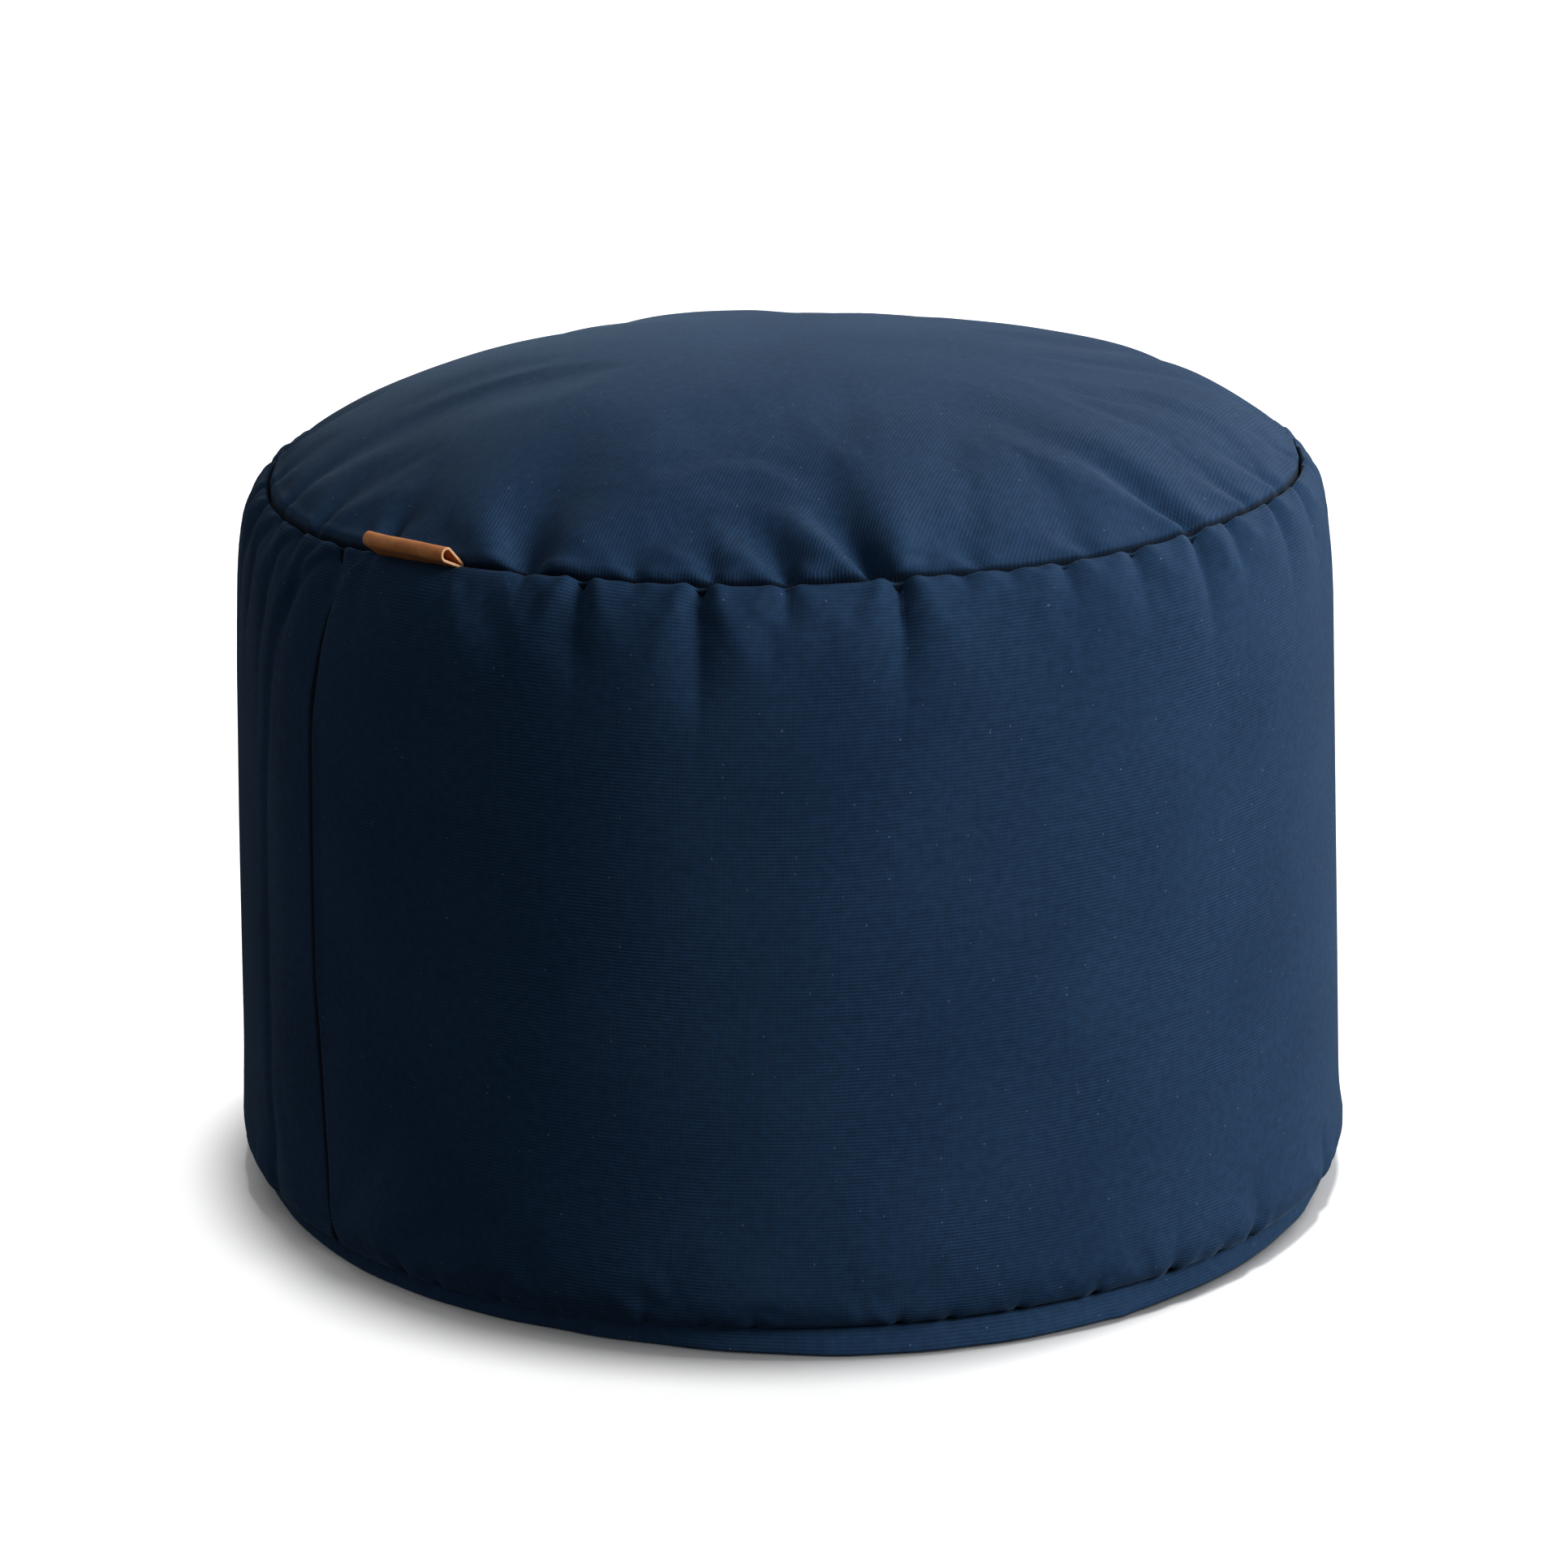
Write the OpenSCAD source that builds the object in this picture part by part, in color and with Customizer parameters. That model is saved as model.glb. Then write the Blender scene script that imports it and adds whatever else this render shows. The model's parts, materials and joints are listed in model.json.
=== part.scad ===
// Round bean-bag pouf. A sewn fabric cover, closed by a zip across its base, holds a zipped
// liner full of loose beads. Millimetres, +Z up. The origin is on the floor, at the centre of
// the base. The front is towards -Y, and azimuths are counted from it towards +X.

/* [Pouf] */
// Diameter of the stuffed pouf just above its base, where it is widest
pouf_d = 452; // [440:2:520]
// How much smaller the side's diameter is just below the top seam
side_taper = 12; // [0:1:16]
// Height of the top seam above the floor
top_seam_h = 296; // [260:2:400]
// Diameter of the top seam
top_seam_d = 416; // [404:1:420]
// Rise of the stuffed top above its seam
crown_h = 49; // [30:1:60]

/* [Cover] */
// Thickness of the cover fabric
fabric_t = 1; // [0.8:0.1:1.2]
// Width of fabric turned in at each seam
allowance = 8; // [6:0.5:9]
// Azimuth of the upright seam that closes the side panel
side_seam_azimuth = -53; // [-80:1:-53]
// Height of the base seam above the floor
base_seam_h = 11.5; // [10:0.5:13]
// How far the welt leans out between the base seam and the floor
welt_flare = 0.8; // [0:0.1:2]

/* [Leather tab] */
// Width of the tab along the seam
tab_w = 43; // [40:1:56]
// Reach of the folded tab from the seam
tab_reach = 12.5; // [12:0.5:16]
// Angle of the tab above the horizontal
tab_lift = 40; // [20:1:50]
// Thickness of the leather
leather_t = 1.1; // [0.8:0.1:1.3]
// Azimuth of the middle of the tab
tab_azimuth = -40; // [-41:1:-30]

/* [Zips] */
// Length of the closed row of the zip across the cover's base
cover_zip_l = 340; // [300:5:345]
// Length of the closed row of the liner's zip
liner_zip_l = 220; // [160:5:240]
// Distance of the liner's zip behind the cover's zip
liner_zip_y = 75; // [70:1:85]
// Length of the pull tab from its hinge
pull_l = 24; // [18:1:25]

/* [Hidden] */
$fn = 180;

// Gap left between layers that lie on each other
gap = 0.3;
// A little more than a cut needs, so that faces don't coincide
past = 1;

// Colours
navy = [0.09, 0.15, 0.25];
dark_navy = [0.05, 0.09, 0.16];
tan_leather = [0.70, 0.41, 0.24];
liner_white = [0.90, 0.90, 0.88];
bead_white = [0.97, 0.97, 0.96];
gunmetal = [0.35, 0.36, 0.38];

// Outer radius of the tab's round fold
bulb_r = 3.6;
// How far the tab's slot in the top seam runs in from the seam, across it, and above it
tab_slot_in = 4.2;
tab_slot_w = 5.2;
tab_slot_up = 2.6;
// Width of the cut between two edges that meet at the upright seam
cut_w = 0.2;

// The cover's seams, as [radius, height] of the line where the fabric turns in
top_seam = [top_seam_d / 2, top_seam_h];
base_seam = [pouf_d / 2 - 3.4, base_seam_h];
// The side's own edge at the top seam, just outside the top panel's
side_seam_r = top_seam[0] + 0.2;
// The side's radius just above its base and just below the top, apart from the turned-in edges
side_low_r = pouf_d / 2;
side_high_r = (pouf_d - side_taper) / 2;
// The base panel lies flat inside this radius, and its own seam line is inside the welt's
base_flat_r = pouf_d / 2 - 20;
base_edge = [base_seam[0] - 2.1, base_seam_h - 0.5];

// The liner's seams and flat base, clear of the fabric that the cover's seams turn in
liner_t = 0.8;
liner_floor = fabric_t + gap;
liner_top_seam = [top_seam[0] - 3.5, top_seam_h - allowance - 3];
liner_base_seam = [base_edge[0] - 3.5, base_seam_h + allowance + 1];
liner_flat_r = base_flat_r - 8;
liner_crown_z = top_seam_h + crown_h - fabric_t - gap;

// The zip's cross-section, as heights above the underside of the panel that it is sewn to
lip_z = 6.6;
tape_z = lip_z + fabric_t + 0.1;
tape_t = 0.6;
coil_t = 2.2;
coil_z = tape_z - 0.1 - coil_t;
plate_t = 1.3;
inner_plate_t = 1.2;
outer_plate_z = coil_z - 0.4 - plate_t;
inner_plate_z = tape_z + tape_t + 0.4;
zip_roof_z = inner_plate_z + inner_plate_t + 0.6;

// The zip's widths, from its middle line
coil_inner_y = 0.55;
coil_outer_y = 3.1;
tape_inner_y = 0.9;
tape_outer_y = 16;
tape_end_l = 6;
lip_y = 6.4;
groove_top_y = 10;
groove_bottom_y = 24;

// The slider, centred on its own origin
slider_l = 12;
slider_w = 10;
neck_w = 0.7;
neck_l = 2;
flange_w = 1;
ear_y = 2.2;
ear_w = 1;
hinge_x = 3.5;
hinge_z = outer_plate_z - 1.5;
pin_r = 0.6;
eye_r = 1.3;
pin_clearance = 0.05;
pull_t = 1.2;
pull_w = 6.6;
pull_neck_w = 3.9;
pull_hole_r = 1.6;

// Length of the grooves around the zips, and where each closed slider rests
cover_groove_l = cover_zip_l + 52;
liner_groove_l = liner_zip_l + 30;
cover_slider_x = (cover_zip_l - slider_l) / 2 + gap;
liner_slider_x = (liner_zip_l - slider_l) / 2 + gap;

// ---- Outlines of the stuffed shape ----

// The side between two seams, at distance d in from its outer face: a slight cone whose edges
// turn in to the seams with round shoulders
function side_line(lo, hi, d, steps = 24) = [
    for (i = [0:steps])
        let (
            u = -cos(180 * i / steps),
            up = (1 + u) / 2,
            cone_r = side_low_r + (side_high_r - side_low_r) * up - d,
            seam_r = u < 0 ? lo[0] + (cone_r - side_low_r + d) : hi[0] + (cone_r - side_high_r + d),
            turn = 1 - sqrt(max(0, 1 - pow(abs(u), 9)))
        )
        [cone_r - (cone_r - seam_r) * turn, lo[1] + (hi[1] - lo[1]) * up]
];

// The crowned top, from its seam in to the axis
function crown_line(seam, peak_z, steps = 16) = [
    for (i = [0:steps])
        let (rho = cos(90 * i / steps))
        [seam[0] * rho, seam[1] + (peak_z - seam[1]) * pow(max(0, 1 - pow(rho, 2.6)), 0.8)]
];

// The rounded edge of the base, from the flat out to its seam
function foot_line(flat_r, floor_z, seam, steps = 8) = [
    for (i = [0:steps])
        let (a = 90 * i / steps)
        [flat_r + (seam[0] - flat_r) * sin(a), floor_z + (seam[1] - floor_z) * (1 - cos(a))]
];

function reversed(list) = [for (i = [len(list) - 1:-1:0]) list[i]];
function dropped(point, d) = [point[0], point[1] - d];

// ---- Cover ----

// Solid ring from radius r_in to r_out, from height z_lo to z_hi
module ring(r_in, r_out, z_lo, z_hi) {
    rotate_extrude() translate([r_in, z_lo]) square([r_out - r_in, z_hi - z_lo]);
}

module at_azimuth(azimuth) {
    rotate([0, 0, azimuth - 90]) children();
}

// The opening in the top seam that the tab's tail passes through
module tab_slot() {
    at_azimuth(tab_azimuth)
        translate([top_seam[0] - tab_slot_in, -tab_w / 2 - gap, top_seam_h - allowance - past])
        cube([tab_slot_w, tab_w + 2 * gap, allowance + tab_slot_up]);
}

module top_panel() {
    color(navy) difference() {
        union() {
            rotate_extrude() polygon(concat(
                crown_line(top_seam, top_seam_h + crown_h),
                reversed(crown_line(dropped(top_seam, fabric_t), top_seam_h + crown_h - fabric_t))
            ));
            ring(top_seam[0] - fabric_t, top_seam[0], top_seam_h - allowance, top_seam_h - fabric_t / 2);
        }
        tab_slot();
    }
}

// The side panel's ring before its upright seam is cut, at distance d in from its outer face
function side_outline(d) = side_line(
    [base_seam[0], base_seam[1] + d],
    [side_seam_r, top_seam_h - d],
    d
);

module side_panel() {
    color(navy) difference() {
        union() {
            rotate_extrude() polygon(concat(side_outline(0), reversed(side_outline(fabric_t))));
            ring(side_seam_r, side_seam_r + fabric_t, top_seam_h - allowance, top_seam_h - fabric_t / 2);
            ring(base_seam[0], base_seam[0] + fabric_t,
                base_seam_h + fabric_t / 2, base_seam_h + allowance);
            side_seam_allowance();
        }
        at_azimuth(side_seam_azimuth)
            translate([pouf_d / 2 - 14, -cut_w / 2, 0])
            cube([14 + past, cut_w, top_seam_h + past]);
        tab_slot();
    }
}

// The two edges of the side panel, turned in beside each other at the upright seam
module side_seam_allowance() {
    in_r = base_seam[0] - 0.6;
    intersection() {
        at_azimuth(side_seam_azimuth)
            translate([in_r, -cut_w / 2 - fabric_t, base_seam_h + allowance])
            cube([allowance + 3, 2 * fabric_t + cut_w, top_seam_h - base_seam_h - 2 * allowance]);
        rotate_extrude() polygon(concat([[0, base_seam_h]], side_outline(fabric_t / 2), [[0, top_seam_h]]));
        rotate_extrude() difference() {
            square([pouf_d, pouf_d]);
            polygon(liner_outline(-gap));
        }
    }
}

// A folded strip that hangs from the base seam to just above the floor
module base_welt() {
    r = base_seam[0] - gap;
    fold_t = 1.6;
    color(navy) rotate_extrude() polygon([
        [r, base_seam_h + allowance],
        [r, base_seam_h - gap],
        [r + welt_flare, 0.8],
        [r + welt_flare - fold_t - 0.1, 0.8],
        [r - fold_t + 0.2, base_seam_h - 0.9],
        [r - fold_t + 0.2, base_seam_h + allowance]
    ]);
}

// The groove around a zip: its walls lean in from the bottom to the roof
module groove(length, bottom_y, top_y, roof_z, floor_z = 0) {
    rotate([90, 0, 90]) linear_extrude(length, center = true) polygon([
        [-bottom_y, floor_z - past],
        [bottom_y, floor_z - past],
        [bottom_y, floor_z],
        [top_y, roof_z],
        [-top_y, roof_z],
        [-bottom_y, floor_z]
    ]);
}

// The lining of a groove, of thickness t, cut open between two lips where a zip is sewn in
module groove_lining(length, t, floor_z, slot_l) {
    difference() {
        intersection() {
            groove(length + 2 * t, groove_bottom_y + t, groove_top_y + t, floor_z + lip_z + t, floor_z);
            translate([-length, -length, floor_z]) cube([2 * length, 2 * length, 30]);
        }
        groove(length, groove_bottom_y, groove_top_y, floor_z + lip_z, floor_z);
        translate([-slot_l / 2, -lip_y, floor_z]) cube([slot_l, 2 * lip_y, 20]);
    }
}

module base_panel() {
    difference() {
        union() {
            rotate_extrude() polygon(concat(
                [[0, 0]],
                foot_line(base_flat_r, 0, base_edge),
                reversed(foot_line(base_flat_r, fabric_t, [base_edge[0] - fabric_t, base_edge[1]])),
                [[0, fabric_t]]
            ));
            ring(base_edge[0] - fabric_t, base_edge[0], base_edge[1] - 0.5, base_seam_h + allowance);
        }
        groove(cover_groove_l + 1, groove_bottom_y + 0.5, groove_top_y, fabric_t + past);
    }
    groove_lining(cover_groove_l, fabric_t, 0, cover_groove_l - 8);
}

module front_half() {
    intersection() {
        children();
        translate([-pouf_d, -pouf_d, -past]) cube([2 * pouf_d, pouf_d - 0.1, 2 * top_seam_h]);
    }
}

module base_panel_front() {
    color(navy) front_half() base_panel();
}

module base_panel_rear() {
    color(navy) rotate([0, 0, 180]) front_half() base_panel();
}

// ---- Leather tab ----

// Outline of the folded loop: two straight sides from the seam, round a bulb of radius r
function loop_line(r, tip) =
    let (
        centre = tab_reach - bulb_r,
        spread = asin(r / (centre - tip)),
        steps = 20
    )
    concat([[tip, 0]], [
        for (i = [0:steps])
            let (a = -90 - spread + (180 + 2 * spread) * i / steps)
            [centre + r * cos(a), r * sin(a)]
    ]);

module leather_tab() {
    color(tan_leather) at_azimuth(tab_azimuth)
        translate([top_seam[0] - 1, 0, top_seam_h + 0.6])
        rotate([90, 0, 0]) linear_extrude(tab_w, center = true) union() {
            rotate(tab_lift) difference() {
                polygon(loop_line(bulb_r, -1));
                polygon(loop_line(bulb_r - leather_t, 2.6));
            }
            translate([-leather_t, -allowance]) square([2 * leather_t, allowance + 0.4]);
        }
}

// ---- Zips ----

module zip_tape(length) {
    color(dark_navy) translate([-length / 2 - tape_end_l, -tape_outer_y, tape_z])
        cube([length + 2 * tape_end_l, tape_outer_y - tape_inner_y, tape_t]);
}

module zip_coil(length) {
    color(dark_navy) translate([-length / 2, -coil_outer_y, coil_z])
        cube([length, coil_outer_y - coil_inner_y, coil_t]);
}

// One small clamp on each tape, where the closed slider stops
module zip_top_stops(length) {
    color(gunmetal) for (side = [-1, 1])
        translate([length / 2 + 0.6, side * 2.1 - 1.2, coil_z]) cube([2.4, 2.4, coil_t]);
}

// A clamp across both tapes, where the open slider stops
module zip_bottom_stop(length) {
    color(gunmetal) translate([-length / 2 - 4.2, -coil_outer_y, coil_z])
        cube([3.6, 2 * coil_outer_y, coil_t]);
}

// Two plates joined by a neck that runs between the coils. The outer plate's flanges hold them.
module slider_body() {
    translate([-slider_l / 2, -slider_w / 2, outer_plate_z]) cube([slider_l, slider_w, plate_t]);
    translate([-slider_l / 2, -slider_w / 2, inner_plate_z]) cube([slider_l, slider_w, inner_plate_t]);
    translate([hinge_x, -neck_w / 2, outer_plate_z])
        cube([neck_l, neck_w, inner_plate_z - outer_plate_z + inner_plate_t / 2]);
    for (side = [-1, 1])
        translate([-slider_l / 2, side * (slider_w - flange_w) / 2 - flange_w / 2, outer_plate_z])
            cube([slider_l, flange_w, tape_z - 0.5 - outer_plate_z]);
}

// The two ears and the cross pin that the pull tab turns on
module slider_bridge() {
    for (side = [-1, 1])
        translate([hinge_x - 1.5, side * (ear_y + ear_w / 2) - ear_w / 2, hinge_z - 1.2])
            cube([3, ear_w, outer_plate_z - hinge_z + 1.3]);
    translate([hinge_x, 0, hinge_z]) rotate([90, 0, 0])
        cylinder(h = 2 * ear_y + 1.6, r = pin_r, center = true, $fn = 32);
}

module pull_tab() {
    difference() {
        union() {
            rotate([90, 0, 0]) cylinder(h = pull_neck_w, r = eye_r, center = true, $fn = 48);
            translate([-pull_l + pull_w / 2, -pull_neck_w / 2, -pull_t / 2])
                cube([pull_l - pull_w / 2, pull_neck_w, pull_t]);
            translate([-pull_l + pull_w / 2, -pull_w / 2, -pull_t / 2])
                cube([pull_l - pull_w / 2 - 3, pull_w, pull_t]);
            translate([-pull_l + pull_w / 2, 0, -pull_t / 2]) cylinder(h = pull_t, d = pull_w, $fn = 48);
        }
        rotate([90, 0, 0]) cylinder(h = 8, r = pin_r + pin_clearance, center = true, $fn = 48);
        translate([-pull_l + pull_w / 2, 0, -past])
            cylinder(h = pull_t + 2 * past, r = pull_hole_r, $fn = 48);
    }
}

module cover_zip_tape_front() { zip_tape(cover_zip_l); }
module cover_zip_tape_rear() { mirror([0, 1, 0]) zip_tape(cover_zip_l); }
module cover_zip_coil_front() { zip_coil(cover_zip_l); }
module cover_zip_coil_rear() { mirror([0, 1, 0]) zip_coil(cover_zip_l); }
module cover_zip_top_stops() { zip_top_stops(cover_zip_l); }
module cover_zip_bottom_stop() { zip_bottom_stop(cover_zip_l); }

module cover_zip_slider() {
    color(gunmetal) translate([cover_slider_x, 0, 0]) {
        slider_body();
        slider_bridge();
    }
}

module cover_zip_pull() {
    color(gunmetal) translate([cover_slider_x + hinge_x, 0, hinge_z]) pull_tab();
}

// Moves a zip drawn at the origin to its place in the liner's base
module in_liner_base() {
    translate([0, liner_zip_y, liner_floor]) children();
}

module liner_zip_tape_front() { in_liner_base() zip_tape(liner_zip_l); }
module liner_zip_tape_rear() { in_liner_base() mirror([0, 1, 0]) zip_tape(liner_zip_l); }
module liner_zip_coil_front() { in_liner_base() zip_coil(liner_zip_l); }
module liner_zip_coil_rear() { in_liner_base() mirror([0, 1, 0]) zip_coil(liner_zip_l); }
module liner_zip_top_stops() { in_liner_base() zip_top_stops(liner_zip_l); }
module liner_zip_bottom_stop() { in_liner_base() zip_bottom_stop(liner_zip_l); }

// The liner's slider has no pull tab, so that a child can't open it
module liner_zip_slider() {
    in_liner_base() color(gunmetal) translate([liner_slider_x, 0, 0]) slider_body();
}

// ---- Liner and filling ----

// The liner's whole outline, at distance d in from its outer face
function liner_outline(d) = concat(
    [[0, liner_floor + d]],
    foot_line(liner_flat_r, liner_floor + d, [liner_base_seam[0] - d, liner_base_seam[1]]),
    side_line(
        [liner_base_seam[0] - d, liner_base_seam[1] + max(0, d)],
        [liner_top_seam[0] - d, liner_top_seam[1] - max(0, d)],
        fabric_t + gap + d
    ),
    crown_line([liner_top_seam[0] - d, liner_top_seam[1]], liner_crown_z - d)
);

module liner_top() {
    color(liner_white) rotate_extrude() polygon(concat(
        crown_line([liner_top_seam[0], liner_top_seam[1] + 0.1], liner_crown_z),
        reversed(crown_line([liner_top_seam[0] - liner_t, liner_top_seam[1] + 0.1], liner_crown_z - liner_t))
    ));
}

module liner_side() {
    inner = side_line(
        [liner_base_seam[0] - liner_t, liner_base_seam[1]],
        [liner_top_seam[0] - liner_t, liner_top_seam[1]],
        fabric_t + gap + liner_t
    );
    outer = side_line(liner_base_seam, liner_top_seam, fabric_t + gap);
    color(liner_white) rotate_extrude() polygon(concat(outer, reversed(inner)));
}

// The hollow in the liner's base that clears the back of the cover's zip, grown by d
module cover_zip_hollow(d) {
    groove(cover_groove_l + 6 + 2 * d, groove_bottom_y + 3 + d, tape_outer_y + 2.5 + d,
        zip_roof_z + d, liner_floor);
}

module liner_base() {
    top_z = liner_floor + liner_t;
    seam = dropped(liner_base_seam, 0.1);
    color(liner_white) {
        difference() {
            rotate_extrude() polygon(concat(
                [[0, liner_floor]],
                foot_line(liner_flat_r, liner_floor, seam),
                reversed(foot_line(liner_flat_r, top_z, [seam[0] - liner_t, seam[1]])),
                [[0, top_z]]
            ));
            cover_zip_hollow(liner_t / 2);
            translate([0, liner_zip_y, 0])
                groove(liner_groove_l + 1, groove_bottom_y + 0.5, groove_top_y, top_z + past, liner_floor);
        }
        intersection() {
            difference() {
                cover_zip_hollow(liner_t);
                cover_zip_hollow(0);
            }
            translate([-pouf_d, -pouf_d, liner_floor]) cube([2 * pouf_d, 2 * pouf_d, 30]);
        }
        translate([0, liner_zip_y, 0])
            groove_lining(liner_groove_l, liner_t, liner_floor, liner_groove_l - 8);
    }
}

module bead_fill() {
    color(bead_white) difference() {
        rotate_extrude() polygon(liner_outline(liner_t + gap));
        cover_zip_hollow(liner_t + gap);
        translate([0, liner_zip_y, 0])
            groove(liner_groove_l + 4, groove_bottom_y + 2, tape_outer_y + 2.5,
                liner_floor + zip_roof_z, liner_floor);
    }
}

top_panel();
side_panel();
base_panel_front();
base_panel_rear();
base_welt();
leather_tab();
cover_zip_tape_front();
cover_zip_tape_rear();
cover_zip_coil_front();
cover_zip_coil_rear();
cover_zip_top_stops();
cover_zip_bottom_stop();
cover_zip_slider();
cover_zip_pull();
liner_top();
liner_side();
liner_base();
liner_zip_tape_front();
liner_zip_tape_rear();
liner_zip_coil_front();
liner_zip_coil_rear();
liner_zip_top_stops();
liner_zip_bottom_stop();
liner_zip_slider();
bead_fill();
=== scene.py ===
"""A round bean-bag pouf: sewn fabric cover, zip, leather tab, liner and beads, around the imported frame.

Azimuths are counted from the front (-Y) towards +X. The cover is a grid of rings and meridians. Its
loose, wrinkled look comes from a cloth simulation, and its gathers and creases lie along the seams.
"""
import json
import math

import bpy
import numpy as np
from mathutils import Matrix, Vector

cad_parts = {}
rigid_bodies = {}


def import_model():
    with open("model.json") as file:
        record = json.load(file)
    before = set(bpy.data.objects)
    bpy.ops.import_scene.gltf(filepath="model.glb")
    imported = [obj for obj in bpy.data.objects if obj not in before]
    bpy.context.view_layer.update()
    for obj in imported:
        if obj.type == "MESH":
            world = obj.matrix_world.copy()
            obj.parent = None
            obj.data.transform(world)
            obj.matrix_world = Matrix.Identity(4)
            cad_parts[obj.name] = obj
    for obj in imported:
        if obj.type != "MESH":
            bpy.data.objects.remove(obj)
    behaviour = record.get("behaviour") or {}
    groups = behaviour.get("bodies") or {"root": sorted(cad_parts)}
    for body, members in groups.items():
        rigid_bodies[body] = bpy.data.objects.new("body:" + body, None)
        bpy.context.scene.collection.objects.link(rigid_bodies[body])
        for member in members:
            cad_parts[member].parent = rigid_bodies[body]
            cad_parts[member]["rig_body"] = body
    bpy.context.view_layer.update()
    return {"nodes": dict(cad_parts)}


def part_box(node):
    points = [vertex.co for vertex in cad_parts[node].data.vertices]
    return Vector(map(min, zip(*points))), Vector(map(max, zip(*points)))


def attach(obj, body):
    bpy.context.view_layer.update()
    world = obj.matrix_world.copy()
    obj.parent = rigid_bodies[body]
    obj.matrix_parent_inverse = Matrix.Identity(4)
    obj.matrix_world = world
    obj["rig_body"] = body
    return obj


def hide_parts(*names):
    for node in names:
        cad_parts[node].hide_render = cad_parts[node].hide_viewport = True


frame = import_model()
MM = 0.001
rad = math.radians

# ---- Sizes from the frame ----
SEAM_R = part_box("top_panel")[1].x
SEAM_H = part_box("side_panel")[1].z
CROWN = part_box("top_panel")[1].z - SEAM_H
BASE_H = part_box("side_panel")[0].z
LOW_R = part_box("side_panel")[1].x + 4.6 * MM
TAPER = 8.5 * MM
WELT_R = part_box("base_welt")[1].x - 0.6 * MM
BASE_EDGE_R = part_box("base_panel_front")[1].x
BASE_FLAT_R = BASE_EDGE_R - 14.5 * MM
ZIP_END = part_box("cover_zip_tape_front")[1].x
LINER_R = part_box("liner_base")[1].x
LINER_SEAM_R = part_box("liner_top")[1].x
LINER_SEAM_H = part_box("liner_top")[0].z
LINER_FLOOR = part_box("liner_base")[0].z
LINER_ZIP_Y = sum(v.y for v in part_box("liner_zip_coil_front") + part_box("liner_zip_coil_rear")) / 4
FABRIC = 1.0 * MM
LINER_T = 0.6 * MM
BASE_SHIFT = 4.6 * MM

# ---- Camera: at the front, looking slightly down ----
CAM_BACK, CAM_UP, CAM_PITCH, CAM_LENS = 1.775, 0.690, 16.7, 102.5


def make_camera():
    data = bpy.data.cameras.new("camera")
    data.lens, data.sensor_width = CAM_LENS, 36
    cam = bpy.data.objects.new("camera", data)
    cam.location = (0, -CAM_BACK, CAM_UP)
    cam.rotation_euler = (rad(90 - CAM_PITCH), 0, 0)
    bpy.context.scene.collection.objects.link(cam)
    bpy.context.scene.camera = cam


# ---- Small functions ----
def apart(a, b):
    """The signed angle from b to a, between -pi and pi."""
    return (a - b + np.pi) % (2 * np.pi) - np.pi


def hill(x, width):
    """1 at x = 0, falling smoothly to 0 on both sides."""
    return np.exp(-((x / width) ** 2))


def ease(x):
    """A smooth step from 0 at x = 0 to 1 at x = 1."""
    x = np.clip(x, 0, 1)
    return x * x * (3 - 2 * x)


def wander(a, seed, low, high):
    """A smooth periodic function of azimuth, about -1 to 1, the same each time for the same seed."""
    rng = np.random.default_rng(seed)
    total = 0 * a
    for k in range(low, high):
        total = total + rng.normal() * np.cos(k * a + rng.uniform(0, 2 * np.pi))
    return total / math.sqrt(high - low)


def spaced(total, first, growth, widest):
    """Distances from 0 to total: small steps at the start that grow up to widest."""
    steps, step = [0.0], first
    while steps[-1] + 1.5 * step < total:
        steps.append(steps[-1] + step)
        step = min(step * growth, widest)
    return np.array(steps + [total])


def spaced_both(total, first, growth, widest):
    """The same, with small steps at both ends."""
    half = spaced(total / 2, first, growth, widest)
    return np.concatenate([half, total - half[::-1][1:]])


def polar(r, a, z):
    """Points at the radius r, azimuth a and height z."""
    return np.stack(np.broadcast_arrays(r * np.sin(a), -r * np.cos(a), z), -1)


def columns(count, start=0.0):
    """Azimuths once round from start. They lie twice as close at the front and close beside start."""
    t = np.linspace(0, 2 * np.pi, 6001)
    ahead = apart(start + t, 0.0)
    dense = 1.0 + 1.1 * ease((rad(95) - np.abs(ahead)) / rad(20))
    if start:
        dense += 4.0 * np.exp(-np.minimum(t, 2 * np.pi - t) * LOW_R / (5 * MM))
    whole = np.concatenate([[0], np.cumsum((dense[1:] + dense[:-1]) / 2)])
    return np.interp(np.linspace(0, whole[-1], count), whole, t)


def grid(s, a):
    return np.meshgrid(s, a, indexing="ij")


# ---- The cover's outline ----
def seam_height(a):
    """Height of the top seam. It tilts down to the left, and the upright seam pulls it down there."""
    tilt = 4.0 * MM * np.sin(a)
    dip = -4.0 * MM * hill(apart(a, rad(-72)), rad(22))
    return SEAM_H + tilt + dip + 0.4 * MM * wander(a, 3, 5, 14)


def dome_height(rho):
    """How far the crown stands above the top seam."""
    return CROWN * np.maximum(0, 1 - rho ** 2.2) ** 0.78


def top_outline(rho, a):
    """Outer face of the stuffed top. rho is 0 at the middle and 1 at the seam."""
    slope = (seam_height(a) - SEAM_H) * rho ** 2
    full = 4.5 * MM * np.maximum(0, np.sin(a)) * hill(rho - 0.82, 0.15) * (1 - rho ** 10)
    full = full + 1.5 * MM * np.maximum(0, -np.sin(a)) * hill(rho - 0.5, 0.25)
    return polar(SEAM_R * rho, a, SEAM_H + dome_height(rho) + slope + full)


PROFILE_UP = (1 - np.cos(np.linspace(0, np.pi, 1500))) / 2


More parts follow.
